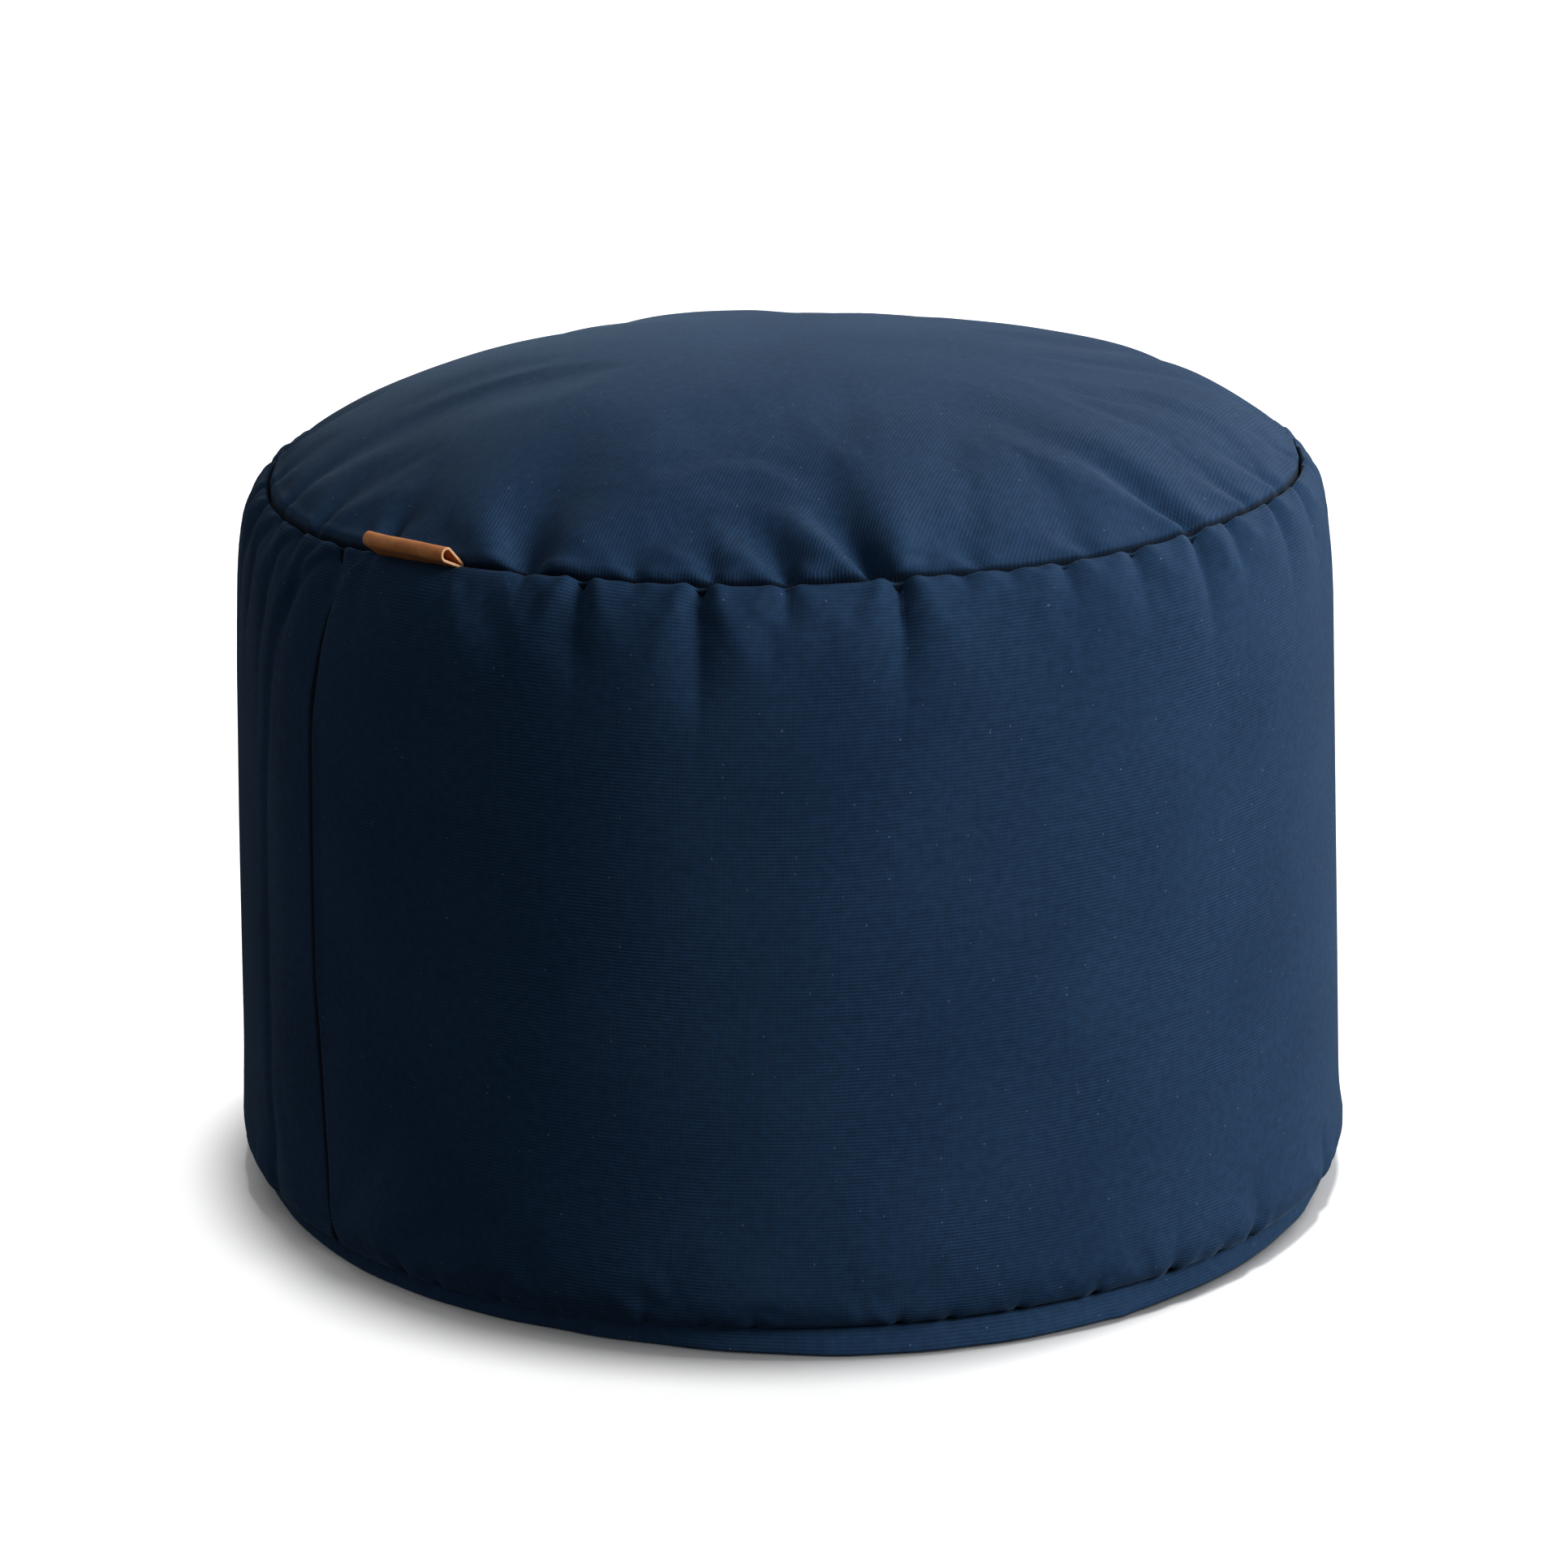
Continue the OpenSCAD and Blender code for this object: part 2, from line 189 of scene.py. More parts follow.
def side_radius(up):
    """Radius of the side at a height fraction, with a round shoulder at each seam."""
    turn_hi = 1 - np.sqrt(np.maximum(0, 1 - np.maximum(0, 2 * up - 1) ** 8))
    turn_lo = 1 - np.sqrt(np.maximum(0, 1 - np.maximum(0, 1 - 2 * up) ** 16))
    cone = LOW_R - TAPER * up ** 1.3
    return cone - (cone - SEAM_R) * turn_hi - (cone - WELT_R) * turn_lo


PROFILE_R = side_radius(PROFILE_UP)
PROFILE_S = np.concatenate([[0], np.cumsum(np.hypot(
    np.diff(PROFILE_R), np.diff(PROFILE_UP) * (SEAM_H - BASE_H)))])
SIDE_L = PROFILE_S[-1]
DOME_RHO = np.linspace(0, 1, 1500)
DOME_S = np.concatenate([[0], np.cumsum(np.hypot(
    np.diff(SEAM_R * DOME_RHO), np.diff(dome_height(DOME_RHO))))])
DOME_L = DOME_S[-1]


def side_outline(s, a, inset=0.0):
    """Outer face of the stuffed side, s down from the top seam. It leans, and bulges and sags at its foot."""
    r = np.interp(SIDE_L - s, PROFILE_S, PROFILE_R) - inset
    up = np.interp(SIDE_L - s, PROFILE_S, PROFILE_UP)
    p = polar(r, a, BASE_H + (seam_height(a) - BASE_H) * up)
    p[..., 0] += BASE_SHIFT * (1 - up) ** 2
    heel = 3.0 * MM * (hill(apart(a, rad(-72)), rad(30)) + hill(apart(a, rad(68)), rad(35)))
    p += polar(heel * hill(SIDE_L - s - 8 * MM, 14 * MM), a, 0.0)
    p[..., 2] -= 4.5 * MM * hill(apart(a, rad(-42)), rad(38)) * np.exp(-(SIDE_L - s) / (9 * MM))
    return p


def dome_rho(s):
    """rho at the distance s in from the top seam, along the surface."""
    return np.interp(DOME_L - s, DOME_S, DOME_RHO)


# ---- Gathers along the seams: azimuth in degrees, then depth, length and half width in mm ----
SIDE_GATHERS = [
    (-27, 1.8, 12, 2.6), (-20.5, 4.8, 28, 2.8), (-15, 1.4, 9, 2.2), (-8.2, 5.4, 38, 3.0), (0.2, 2.8, 20, 2.6),
    (11.4, 5.8, 38, 3.2), (18, 2.4, 12, 2.6), (23, 2.0, 11, 2.4), (29.5, 3.4, 20, 3.0), (38, 3.6, 24, 3.2),
    (47, 5.0, 40, 3.8), (53, 3.0, 22, 2.8), (63, 3.4, 28, 3.2), (72, 3.2, 26, 3.4), (84, 2.8, 22, 3.2),
]
TOP_GATHERS = [
    (-71, 1.6, 26, 4.0), (-60, 2.2, 28, 4.0), (-46, 3.4, 26, 3.4), (-27, 7.0, 46, 8.0), (-15, 2.0, 14, 3.4),
    (-7, 2.4, 20, 3.4), (0.5, 5.4, 36, 5.0), (9.5, 9.0, 50, 5.4), (20, 1.6, 16, 3.4), (33, 1.6, 18, 4.0),
    (47.5, 4.4, 52, 4.6), (59, 1.8, 26, 3.6), (68, 2.2, 30, 4.0), (82, 1.6, 26, 4.0),
]
BASE_GATHERS = [
    (-42.5, 2.2, 9, 1.7), (-38, 1.8, 8, 1.5), (-30.5, 1.8, 8, 1.5), (-24, 1.6, 8, 1.4), (-14.5, 2.0, 9, 1.5),
    (-9, 1.2, 7, 1.3), (-4, 1.2, 7, 1.3), (10, 1.4, 8, 1.4), (15, 1.2, 7, 1.3), (22, 1.4, 7, 1.3),
    (30.5, 1.4, 8, 1.4), (40, 2.2, 18, 2.2), (47, 1.6, 9, 1.5), (52, 2.2, 20, 2.2), (69, 2.2, 16, 2.2),
]


def all_round(gathers, seed, step, share=1.0):
    """Carries a list of gathers on round the back, at random places, with a share of their depth."""
    rng = np.random.default_rng(seed)
    a, last = gathers[-1][0] + step, gathers[0][0] + 360 - step / 2
    extra = []
    while a < last:
        _, depth, length, width = gathers[rng.integers(len(gathers))]
        extra.append((a, depth * share, length * share, width))
        a += step * rng.uniform(0.7, 1.4)
    return gathers + extra


def gathered(a, s, gathers, radius, sharp=False):
    """How far the surface dips at azimuth a and distance s from a seam. A sharp gather is a crease."""
    dip = 0 * (a + s)
    for azimuth, depth, length, width in gathers:
        across = apart(a, rad(azimuth)) * radius
        w = width * MM * (0.72 + 1.6 * s / (length * MM))
        along = np.exp(-((s / (length * MM)) ** 1.6))
        crease = np.exp((0.3 * MM - np.hypot(across, 0.3 * MM)) / w) if sharp else hill(across, w)
        valley = crease - 0.34 * hill(across - 2.3 * w, 1.4 * w) - 0.34 * hill(across + 2.3 * w, 1.4 * w)
        dip = dip - depth * MM * along * valley
    return dip


# ---- The leather tab's place, and the side panel's upright seam and the loose folds beside it ----
TAB_MIDDLE, TAB_WIDTH = rad(-40.8), 43 * MM
SEAM_LOW, SEAM_TOP, SEAM_BEND = rad(-54.2), rad(-46.4), 21 * MM
FOLD_FROM, FOLD_TO, FOLD_BEND = rad(-52), rad(-66.6), 30 * MM
# Short folds that fan out below the top seam: azimuth at the top and lower down, depth and length in mm
FAN_FOLDS = [(-57, -63, 3.2, 46), (-63, -69, 3.6, 60), (-70, -75, 3.4, 50), (-77, -80, 3.0, 50)]


def upright_seam(s):
    """Azimuth of the upright seam, which bends to the right near its ends."""
    bend = np.exp(-s / SEAM_BEND) + 0.25 * np.exp((s - SIDE_L) / (12 * MM))
    return SEAM_LOW + (SEAM_TOP - SEAM_LOW) * bend


def under_tab(a):
    """1 where the leather tab leaves the top seam, and 0 beside it."""
    return ease((rad(6.6) - np.abs(apart(a, TAB_MIDDLE))) / rad(1.4))


def drop_beside(x, width):
    """1 at x = 0, falling to 0 at width, like the round edge of stuffed fabric."""
    t = np.clip(x / width, 0, 1)
    return 1 - np.sqrt(1 - (1 - t) ** 2)


def side_folds(a, s):
    """The step at the upright seam, the long fold on its left, and the fan of short folds."""
    right = apart(a, upright_seam(s)) * LOW_R
    out = -3.6 * MM * np.where(right > 0, drop_beside(right, 3.6 * MM), 1 - ease(-right / (34 * MM)))
    left = -apart(a, FOLD_TO + (FOLD_FROM - FOLD_TO) * np.exp(-s / FOLD_BEND)) * LOW_R
    clear = ease(-right / (12 * MM))
    out = out - 3.0 * MM * clear * np.where(left > 0, np.exp(-left / (3.4 * MM)), np.exp(left / (13 * MM)))
    for top, low, depth, length in FAN_FOLDS:
        left = -apart(a, rad(low) + rad(top - low) * np.exp(-s / (25 * MM))) * LOW_R
        fold = np.where(left > 0, np.exp(-left / (3.4 * MM)), np.exp(left / (7 * MM)))
        out = out - depth * MM * fold * np.exp(-((s / (length * MM)) ** 2))
    return out


# ---- Cloth simulation: the top and side, sewn together, blown up while their seams are held ----
SIM_COLUMNS, SIM_FRAMES, SIM_CAP = 272, 20, 5 * MM
WIDE_WAVES = 5
SIM_TOP = spaced(DOME_L - 6 * MM, 2.6 * MM, 1.2, 5.2 * MM)
SIM_SIDE = spaced_both(SIDE_L, 2.6 * MM, 1.2, 5.4 * MM)


def simulate():
    """Blows up the sewn cover, cut 3% too full, and returns each panel's wrinkles, by ring and column.

    Only the wrinkles are kept: the widest waves round the pouf are left out.
    """
    a = np.arange(SIM_COLUMNS) * 2 * np.pi / SIM_COLUMNS
    top_s, top_a = grid(SIM_TOP[::-1], a)
    side_s, side_a = grid(SIM_SIDE[1:], a)
    start_top = with_gathers("top", top_s, top_a)
    start_side = with_gathers("side", side_s, side_a)
    rings = np.concatenate([start_top, start_side])
    verts, faces, rows = ringed(rings, 4.0 * MM)
    ob = bpy.data.objects.new("sewn_cover", bpy.data.meshes.new("sewn_cover"))
    ob.data.from_pydata(verts.tolist(), [], faces)
    bpy.context.scene.collection.objects.link(ob)
    held = ob.vertex_groups.new(name="seams")
    seam_row, base_row = len(SIM_TOP) - 1, len(rings) - 1
    held.add(rows[seam_row].tolist() + rows[base_row].tolist(), 1.0, "REPLACE")
    cloth = ob.modifiers.new("Cloth", "CLOTH")
    cloth.settings.quality = 6
    cloth.settings.mass = 0.25
    cloth.settings.tension_stiffness = 40
    cloth.settings.compression_stiffness = 40
    cloth.settings.shear_stiffness = 10
    cloth.settings.bending_stiffness = 1.0
    cloth.settings.vertex_group_mass = "seams"
    cloth.settings.use_pressure = True
    cloth.settings.uniform_pressure_force = 4
    cloth.settings.shrink_min = -0.03
    cloth.settings.effector_weights.gravity = 0
    cloth.point_cache.frame_end = SIM_FRAMES
    scene = bpy.context.scene
    for f in range(1, SIM_FRAMES + 1):
        scene.frame_set(f)
    result = ob.evaluated_get(bpy.context.evaluated_depsgraph_get())
    blown = np.empty(len(verts) * 3)
    result.data.vertices.foreach_get("co", blown)
    blown = blown.reshape(-1, 3)
    scene.frame_set(1)
    bpy.data.objects.remove(ob)
    moved = np.stack([refilled(blown[row] - verts[row]) for row in rows])
    moved = in_polar(moved, a)
    wave = np.fft.rfft(moved, axis=1)
    wave[:, :WIDE_WAVES] = 0
    moved = np.fft.irfft(wave, SIM_COLUMNS, axis=1)
    size = np.linalg.norm(moved, axis=-1, keepdims=True)
    moved = moved * SIM_CAP * np.tanh(size / SIM_CAP) / np.maximum(size, 1e-9)
    split = len(SIM_TOP)
    return {"top": (SIM_TOP, moved[:split][::-1]), "side": (SIM_SIDE, moved[split - 1:])}


def ringed(rings, least):
    """A disc from rings of points, innermost first. Rings whose points crowd use every second point."""
    verts, faces, rows, start = [], [], [], 0
    steps = []
    step = 1
    for ring in rings[::-1]:
        while np.linalg.norm(ring[step] - ring[0]) < least * 0.6 and len(ring) // (2 * step) >= 16:
            step *= 2
        steps.append(step)
    for ring, step in zip(rings, steps[::-1]):
        pick = ring[::step]
        verts.append(pick)
        rows.append(np.arange(start, start + len(pick)))
        start += len(pick)
    for inner, outer in zip(rows, rows[1:]):
        ni, no = len(inner), len(outer)
        for k in range(ni):
            k2 = (k + 1) % ni
            if ni == no:
                faces.append((inner[k], outer[k], outer[k2], inner[k2]))
            else:
                mid = outer[2 * k + 1]
                faces += [(inner[k], outer[2 * k], mid), (inner[k], mid, inner[k2]),
                          (inner[k2], mid, outer[(2 * k + 2) % no])]
    verts.append(rings[0].mean(0)[None])
    first = rows[0]
    faces += [(start, first[k], first[(k + 1) % len(first)]) for k in range(len(first))]
    return np.concatenate(verts), faces, rows


def refilled(ring):
    """A ring of values with as many points as the simulation has columns."""
    n = len(ring)
    if n == SIM_COLUMNS:
        return ring
    where = np.arange(SIM_COLUMNS) * n / SIM_COLUMNS
    closed = np.concatenate([ring, ring[:1]])
    return np.stack([np.interp(where, np.arange(n + 1), closed[:, k]) for k in range(3)], -1)


def in_polar(v, a):
    """Shifts in x, y and z as shifts outwards, round and up at the azimuths a."""
    out = v[..., 0] * np.sin(a) - v[..., 1] * np.cos(a)
    sideways = v[..., 0] * np.cos(a) + v[..., 1] * np.sin(a)
    return np.stack([out, sideways, v[..., 2]], -1)


# How much of the simulated wrinkles each panel shows
WRINKLE_SHARE = {"top": 0.34, "side": 0.5}


def cubic(t):
    """The weights of four neighbours at the fraction t between the middle two."""
    return (-0.5 * t + t ** 2 - 0.5 * t ** 3, 1 - 2.5 * t ** 2 + 1.5 * t ** 3,
            0.5 * t + 2 * t ** 2 - 1.5 * t ** 3, -0.5 * t ** 2 + 0.5 * t ** 3)


def wrinkles(panel, s, a):
    """The simulation's wrinkles at the distance s from the top seam and azimuth a, as a shift."""
    if SIMULATED is None:
        return np.zeros(np.broadcast(s, a).shape + (3,))
    rows, moved = SIMULATED[panel]
    u = np.interp(s, rows, np.arange(len(rows)))
    v = (a / (2 * np.pi) % 1) * SIM_COLUMNS
    i, j = np.floor(u).astype(int), np.floor(v).astype(int)
    total = np.zeros(u.shape + (3,))
    for di, wi in zip(range(-1, 3), cubic(u - i)):
        r = np.clip(i + di, 0, len(rows) - 1)
        for dj, wj in zip(range(-1, 3), cubic(v - j)):
            total += (wi * wj)[..., None] * moved[r, (j + dj) % SIM_COLUMNS]
    total *= (WRINKLE_SHARE[panel] * ease(s / (18 * MM)))[..., None]
    far = DOME_L - s if panel == "top" else SIDE_L - s
    total *= ease(far / ((110 if panel == "top" else 16) * MM))[..., None]
    return np.stack([total[..., 0] * np.sin(a) + total[..., 1] * np.cos(a),
                     -total[..., 0] * np.cos(a) + total[..., 1] * np.sin(a), total[..., 2]], -1)


# ---- Meshes ----
def new_piece(name, verts, faces, slot, uvs=None, body="pouf", groove=None):
    """A mesh that rides on a body. uvs are cloth coordinates in metres, and groove is a mask of painted
    shade, 1 deep in a seam.
    """
    mesh = bpy.data.meshes.new(name)
    points = np.asarray(verts, float).reshape(-1, 3)
    mesh.from_pydata(points.tolist(), [], [tuple(int(i) for i in f) for f in faces])
    layer = mesh.uv_layers.new(name="cloth")
    if uvs is None:
        uvs = points[:, :2]
    loops = np.empty(len(mesh.loops), np.int32)
    mesh.loops.foreach_get("vertex_index", loops)
    layer.data.foreach_set("uv", np.asarray(uvs, np.float32).reshape(-1, 2)[loops].ravel())
    mesh.polygons.foreach_set("use_smooth", [True] * len(mesh.polygons))
    # Painted shade: the material darkens the cloth where this groove mask is high.
    if groove is not None:
        depth = mesh.attributes.new("groove", "FLOAT", "POINT")
        depth.data.foreach_set("value", np.asarray(groove, np.float32))
    mesh.update()
    piece = bpy.data.objects.new(name, mesh)
    bpy.context.scene.collection.objects.link(piece)
    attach(piece, body)
    return piece


def welded(verts, faces, uvs):
    """Joins points that share one place, and drops the faces that this leaves without an area."""
    _, first, same = np.unique(np.round(verts / (0.001 * MM)), axis=0, return_index=True, return_inverse=True)
    same = same.ravel()
    kept = []
    for f in faces:
        g = [same[i] for i in f]
        g = [g[i] for i in range(len(g)) if g[i] != g[i - 1]]
        if len(g) > 2:
            kept.append(tuple(g))
    return verts[first], kept, uvs[first]


def thickened(verts, faces, t):
    """Closes a sheet of faces into a skin of thickness t, grown from the back of the faces."""
    normal = np.zeros_like(verts)
    sizes = {len(f) for f in faces}
    edges = []
    for size in sizes:
        f = np.array([g for g in faces if len(g) == size])
        p = verts[f]
        area = np.cross(p[:, 2] - p[:, 0], p[:, -1] - p[:, 1] if size == 4 else p[:, 2] - p[:, 1])
        for k in range(size):
            np.add.at(normal, f[:, k], area)
            edges.append(np.stack([f[:, k], f[:, (k + 1) % size]], -1))
    normal /= np.maximum(np.linalg.norm(normal, axis=-1, keepdims=True), 1e-15)
    edges = np.concatenate(edges)
    n = len(verts)
    rim = edges[~np.isin(edges[:, 0] * n + edges[:, 1], edges[:, 1] * n + edges[:, 0])]
    back = [tuple(i + n for i in reversed(f)) for f in faces]
    sides = [(b, a, a + n, b + n) for a, b in rim.tolist()]
    return np.concatenate([verts, verts - normal * t]), list(faces) + back + sides


def cloth_piece(name, verts, faces, uvs, t, node, slot="cover_fabric", groove=None):
    """A closed skin of thickness t that stands for the CAD solid of a node."""
    verts, faces = thickened(verts, faces, t)
    if groove is not None:
        groove = np.concatenate([groove, groove])
    piece = new_piece(name, verts, faces, slot, np.concatenate([uvs, uvs]), groove=groove)
    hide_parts(node)
    return piece


def grid_normals(p, wrap):
    """Unit normals of a grid of points [row, column]."""
    across = np.roll(p, -1, 1) - np.roll(p, 1, 1) if wrap else np.gradient(p, axis=1)
    n = np.cross(np.gradient(p, axis=0), across)
    return n / np.maximum(np.linalg.norm(n, axis=-1, keepdims=True), 1e-12)


def grid_faces(rows, cols, wrap):
    """The quads of a grid of points, closed into a ring with wrap."""
    r, c = np.meshgrid(np.arange(rows - 1), np.arange(cols if wrap else cols - 1), indexing="ij")
    c2 = (c + 1) % cols
    f = np.stack([r * cols + c, (r + 1) * cols + c, (r + 1) * cols + c2, r * cols + c2], -1)
    return [tuple(g) for g in f.reshape(-1, 4).tolist()]


def lip(x, depth):
    """How far a stuffed edge rounds over at the distance x from its seam, within depth of it."""
    x = np.clip(x, 0, depth)
    return depth - np.sqrt(np.maximum(0, depth ** 2 - (depth - x) ** 2))


# ---- Cover ----
TOP_LIP, SIDE_LIP = 2.4 * MM, 2.8 * MM
# How far the seam allowance reaches inside, in steps
TURN_IN = np.array([0.5, 1.4, 3.2, 6.0]) * MM
SIDE_ALL = all_round(SIDE_GATHERS, 11, 9)
BASE_ALL = all_round(BASE_GATHERS, 12, 8)
TOP_ALL = all_round(TOP_GATHERS, 13, 13, 0.7)


def with_gathers(panel, s, a):
    """The top's or side's stuffed face with its gathers, folds and rounded edges."""
    if panel == "top":
        p = top_outline(dome_rho(s), a)
        n = grid_normals(p, True)
        n = n * np.sign(n[..., 2:3])
        slant = a + 0.10 * s / (60 * MM)
        dip = gathered(slant, s, TOP_ALL, SEAM_R) * ease(s / (2 * MM)) * ease((DOME_L - s) / (70 * MM))
        dip = dip + 0.7 * MM * hill(s - 3.4 * MM, 2 * MM)
        return p + n * dip[..., None]
    p = side_outline(s, a)
    n = grid_normals(p, False)
    n = n * np.sign((n * polar(1.0, a, 0.0)).sum(-1, keepdims=True))
    calm = under_tab(a)
    dip = gathered(a, s, SIDE_ALL, SEAM_R, True) * ease(s / (2.5 * MM)) * (1 - calm)
    dip = dip - 0.6 * MM * calm * np.exp(-((s / (14 * MM)) ** 2))
    dip = dip + gathered(a, SIDE_L - s, BASE_ALL, WELT_R, True) * ease((SIDE_L - s) / (1.2 * MM))
    dip = dip + side_folds(a, s) * ease(s / (9 * MM)) * ease((SIDE_L - s) / (9 * MM))
    return p + n * dip[..., None]


def shadow_line(x, full, fade):
    """Mask of painted shade for cloth in and beside a seam's groove: 1 within full mm of the seam, fading
    over the next fade mm.
    """
    return 1 - ease((x / MM - full) / fade)


def edge_steps(depth):
    """Distances from a seam that follow the round edge beside it."""
    return depth * (1 - np.cos(np.linspace(0, np.pi / 2, 6)))[:-1]


def make_side_panel():
    body = SIDE_LIP + spaced(SIDE_L / 2 - SIDE_LIP, 0.9 * MM, 1.2, 6.4 * MM)
    s = np.concatenate([edge_steps(SIDE_LIP), body])
    s = np.concatenate([s, SIDE_L - s[::-1][1:]])[:, None]
    round_from_seam = columns(640, SEAM_LOW)[None, :]
    to_seam = np.minimum(round_from_seam, 2 * np.pi - round_from_seam)
    a = SEAM_LOW + round_from_seam + (upright_seam(s) - SEAM_LOW) * (1 - ease(to_seam / rad(32)))
    s = s + 0 * a
    p = with_gathers("side", s, a) + wrinkles("side", s, a)
    p[..., 2] += lip(SIDE_L - s, SIDE_LIP) - lip(s, SIDE_LIP) - 0.6 * MM * np.exp(-s / (0.8 * MM))
    p += polar((0.45 + 0.7 * under_tab(a)) * MM * hill(s, 1.2 * MM), a, 0.0)
    beside = (a - upright_seam(s)) * LOW_R
    beyond = 2 * np.pi * LOW_R - beside
    ajar = 0.3 * MM * (np.exp(-beside / (0.8 * MM)) - np.exp(-beyond / (0.8 * MM)))
    p += np.stack([np.cos(a) * ajar, np.sin(a) * ajar, 0 * a], -1)
    # Painted shade along the top and base seams, on the crest of the upright seam's right-hand lip and in a
    # wider band on its left, where the lip casts shade; the turned-in allowances are dark all over.
    groove = shadow_line(s, 0.3, 0.9) + shadow_line(SIDE_L - s, 0.6, 1.0)
    upright = shadow_line(beside, 1.2, 1.7) + shadow_line(beyond, 4.6, 1.6)
    groove = np.minimum(1, groove + upright * ease((s - 12 * MM) / (14 * MM)))
    down = np.array([0, 0, 1.0])
    p = np.concatenate([p[:1] - TURN_IN[::-1, None, None] * down, p, p[-1:] + TURN_IN[:, None, None] * down])
    inwards = p * np.array([-1, -1, 0])
    inwards /= np.linalg.norm(inwards, axis=-1, keepdims=True)
    first = p[:, :1] + inwards[:, :1] * TURN_IN[::-1, None]
    last = p[:, -1:] + inwards[:, -1:] * TURN_IN[:, None]
    p = np.concatenate([first, p, last], 1)
    rows, cols = p.shape[:2]
    groove = np.pad(groove, len(TURN_IN), constant_values=1.0)
    run_down = np.cumsum(np.linalg.norm(np.diff(p[:, cols // 2], axis=0, prepend=p[:1, cols // 2]), axis=-1))
    run_round = np.cumsum(np.linalg.norm(np.diff(p[rows // 2], axis=0, prepend=p[rows // 2, :1]), axis=-1))
    uvs = np.stack(np.meshgrid(run_round, -run_down), -1).reshape(-1, 2)
    piece = cloth_piece("side_panel_cloth", p.reshape(-1, 3), grid_faces(rows, cols, False), uvs, FABRIC,
                        "side_panel", groove=groove.ravel())
    return piece


def make_top_panel():
    crown = TOP_LIP + spaced(DOME_L - TOP_LIP, 0.9 * MM, 1.2, 4.2 * MM)[:-1]
    s, a = grid(np.concatenate([edge_steps(TOP_LIP), crown]), columns(641)[:-1])
    p = with_gathers("top", s, a) + wrinkles("top", s, a)
    p[..., 2] -= lip(s, TOP_LIP) + 0.8 * MM * np.exp(-s / (0.8 * MM))
    p -= polar((0.3 + 0.7 * under_tab(a)) * MM * hill(s, 1.2 * MM), a, 0.0)
    # Painted shade along the top seam, carried as a fourth value with each point.
    p = np.concatenate([p, shadow_line(s, 0.75, 0.7)[..., None]], -1)
    p = np.concatenate([p[:1] - TURN_IN[::-1, None, None] * np.array([0, 0, 1.0, 0]), p])
    verts, faces, _ = ringed(p[::-1], 2.0 * MM)
    piece = cloth_piece("top_panel_cloth", verts[:, :3], faces, verts[:, :2], FABRIC, "top_panel",
                        groove=verts[:, 3])
    return piece


def base_height(x, y):
    """Height of the base panel's underside: flat, with a rounded foot and a groove for the zip."""
    r = np.hypot(x, y)
    t = np.clip((r - BASE_FLAT_R) / (BASE_EDGE_R - BASE_FLAT_R), 0, 1)
    foot = (BASE_H - 0.5 * MM) * (1 - np.sqrt(1 - t ** 2))
    across = ease((24 * MM - np.abs(y)) / (14 * MM))
    groove = 6.6 * MM * across * ease((199 * MM - np.abs(x)) / (9 * MM))
    soft = 0.25 * MM * (1 + np.sin(70 * x + 3 * np.sin(40 * y)) * np.sin(90 * y + 2 * np.sin(50 * x)))
    return np.maximum(foot, groove) + soft * ease((BASE_FLAT_R - r) / (20 * MM)) * (1 - across)


def make_base_half(front):
    """Half of the base, from the lip beside the zip to its outer edge. It turns up along its edges."""
    angle = np.linspace(-math.pi / 2, math.pi / 2, 241)
    x = BASE_EDGE_R * np.sin(angle)
    far = np.sqrt(np.maximum(0, BASE_EDGE_R ** 2 - x ** 2))
    near = np.minimum(0.1 * MM + 6.3 * MM * ease((ZIP_END + 2 * MM - np.abs(x)) / (5 * MM)), far)
    t = spaced_both(1.0, 0.006, 1.25, 0.03)
    y = near[None] + (far - near)[None] * t[:, None]
    xx = x[None] + 0 * y
    z = base_height(xx, y)
    p = np.stack([xx, y, z], -1)
    closed = ease((np.abs(x) - ZIP_END) / (4 * MM)) * ease((BASE_EDGE_R - np.abs(x)) / (4 * MM))
    up = np.array([0, 0, 1.0])
    hem = p[:1] + TURN_IN[::-1, None, None] * (closed[None, :, None] * up)
    edge = p[-1:] + TURN_IN[:, None, None] * up
    p = np.concatenate([hem, p, edge])
    r = np.hypot(p[..., 0], p[..., 1])
    p[..., 0] += BASE_SHIFT * ease((r - 200 * MM) / (18 * MM))
    if front:
        p = p * np.array([1, -1, 1])
    rows, cols = p.shape[:2]
    verts, faces, uvs = welded(p.reshape(-1, 3), grid_faces(rows, cols, False), p[..., :2].reshape(-1, 2))
    if front:
        faces = [f[::-1] for f in faces]
    name = "base_panel_front" if front else "base_panel_rear"
    piece = cloth_piece(name + "_cloth", verts, faces, uvs, FABRIC, name)
    return piece


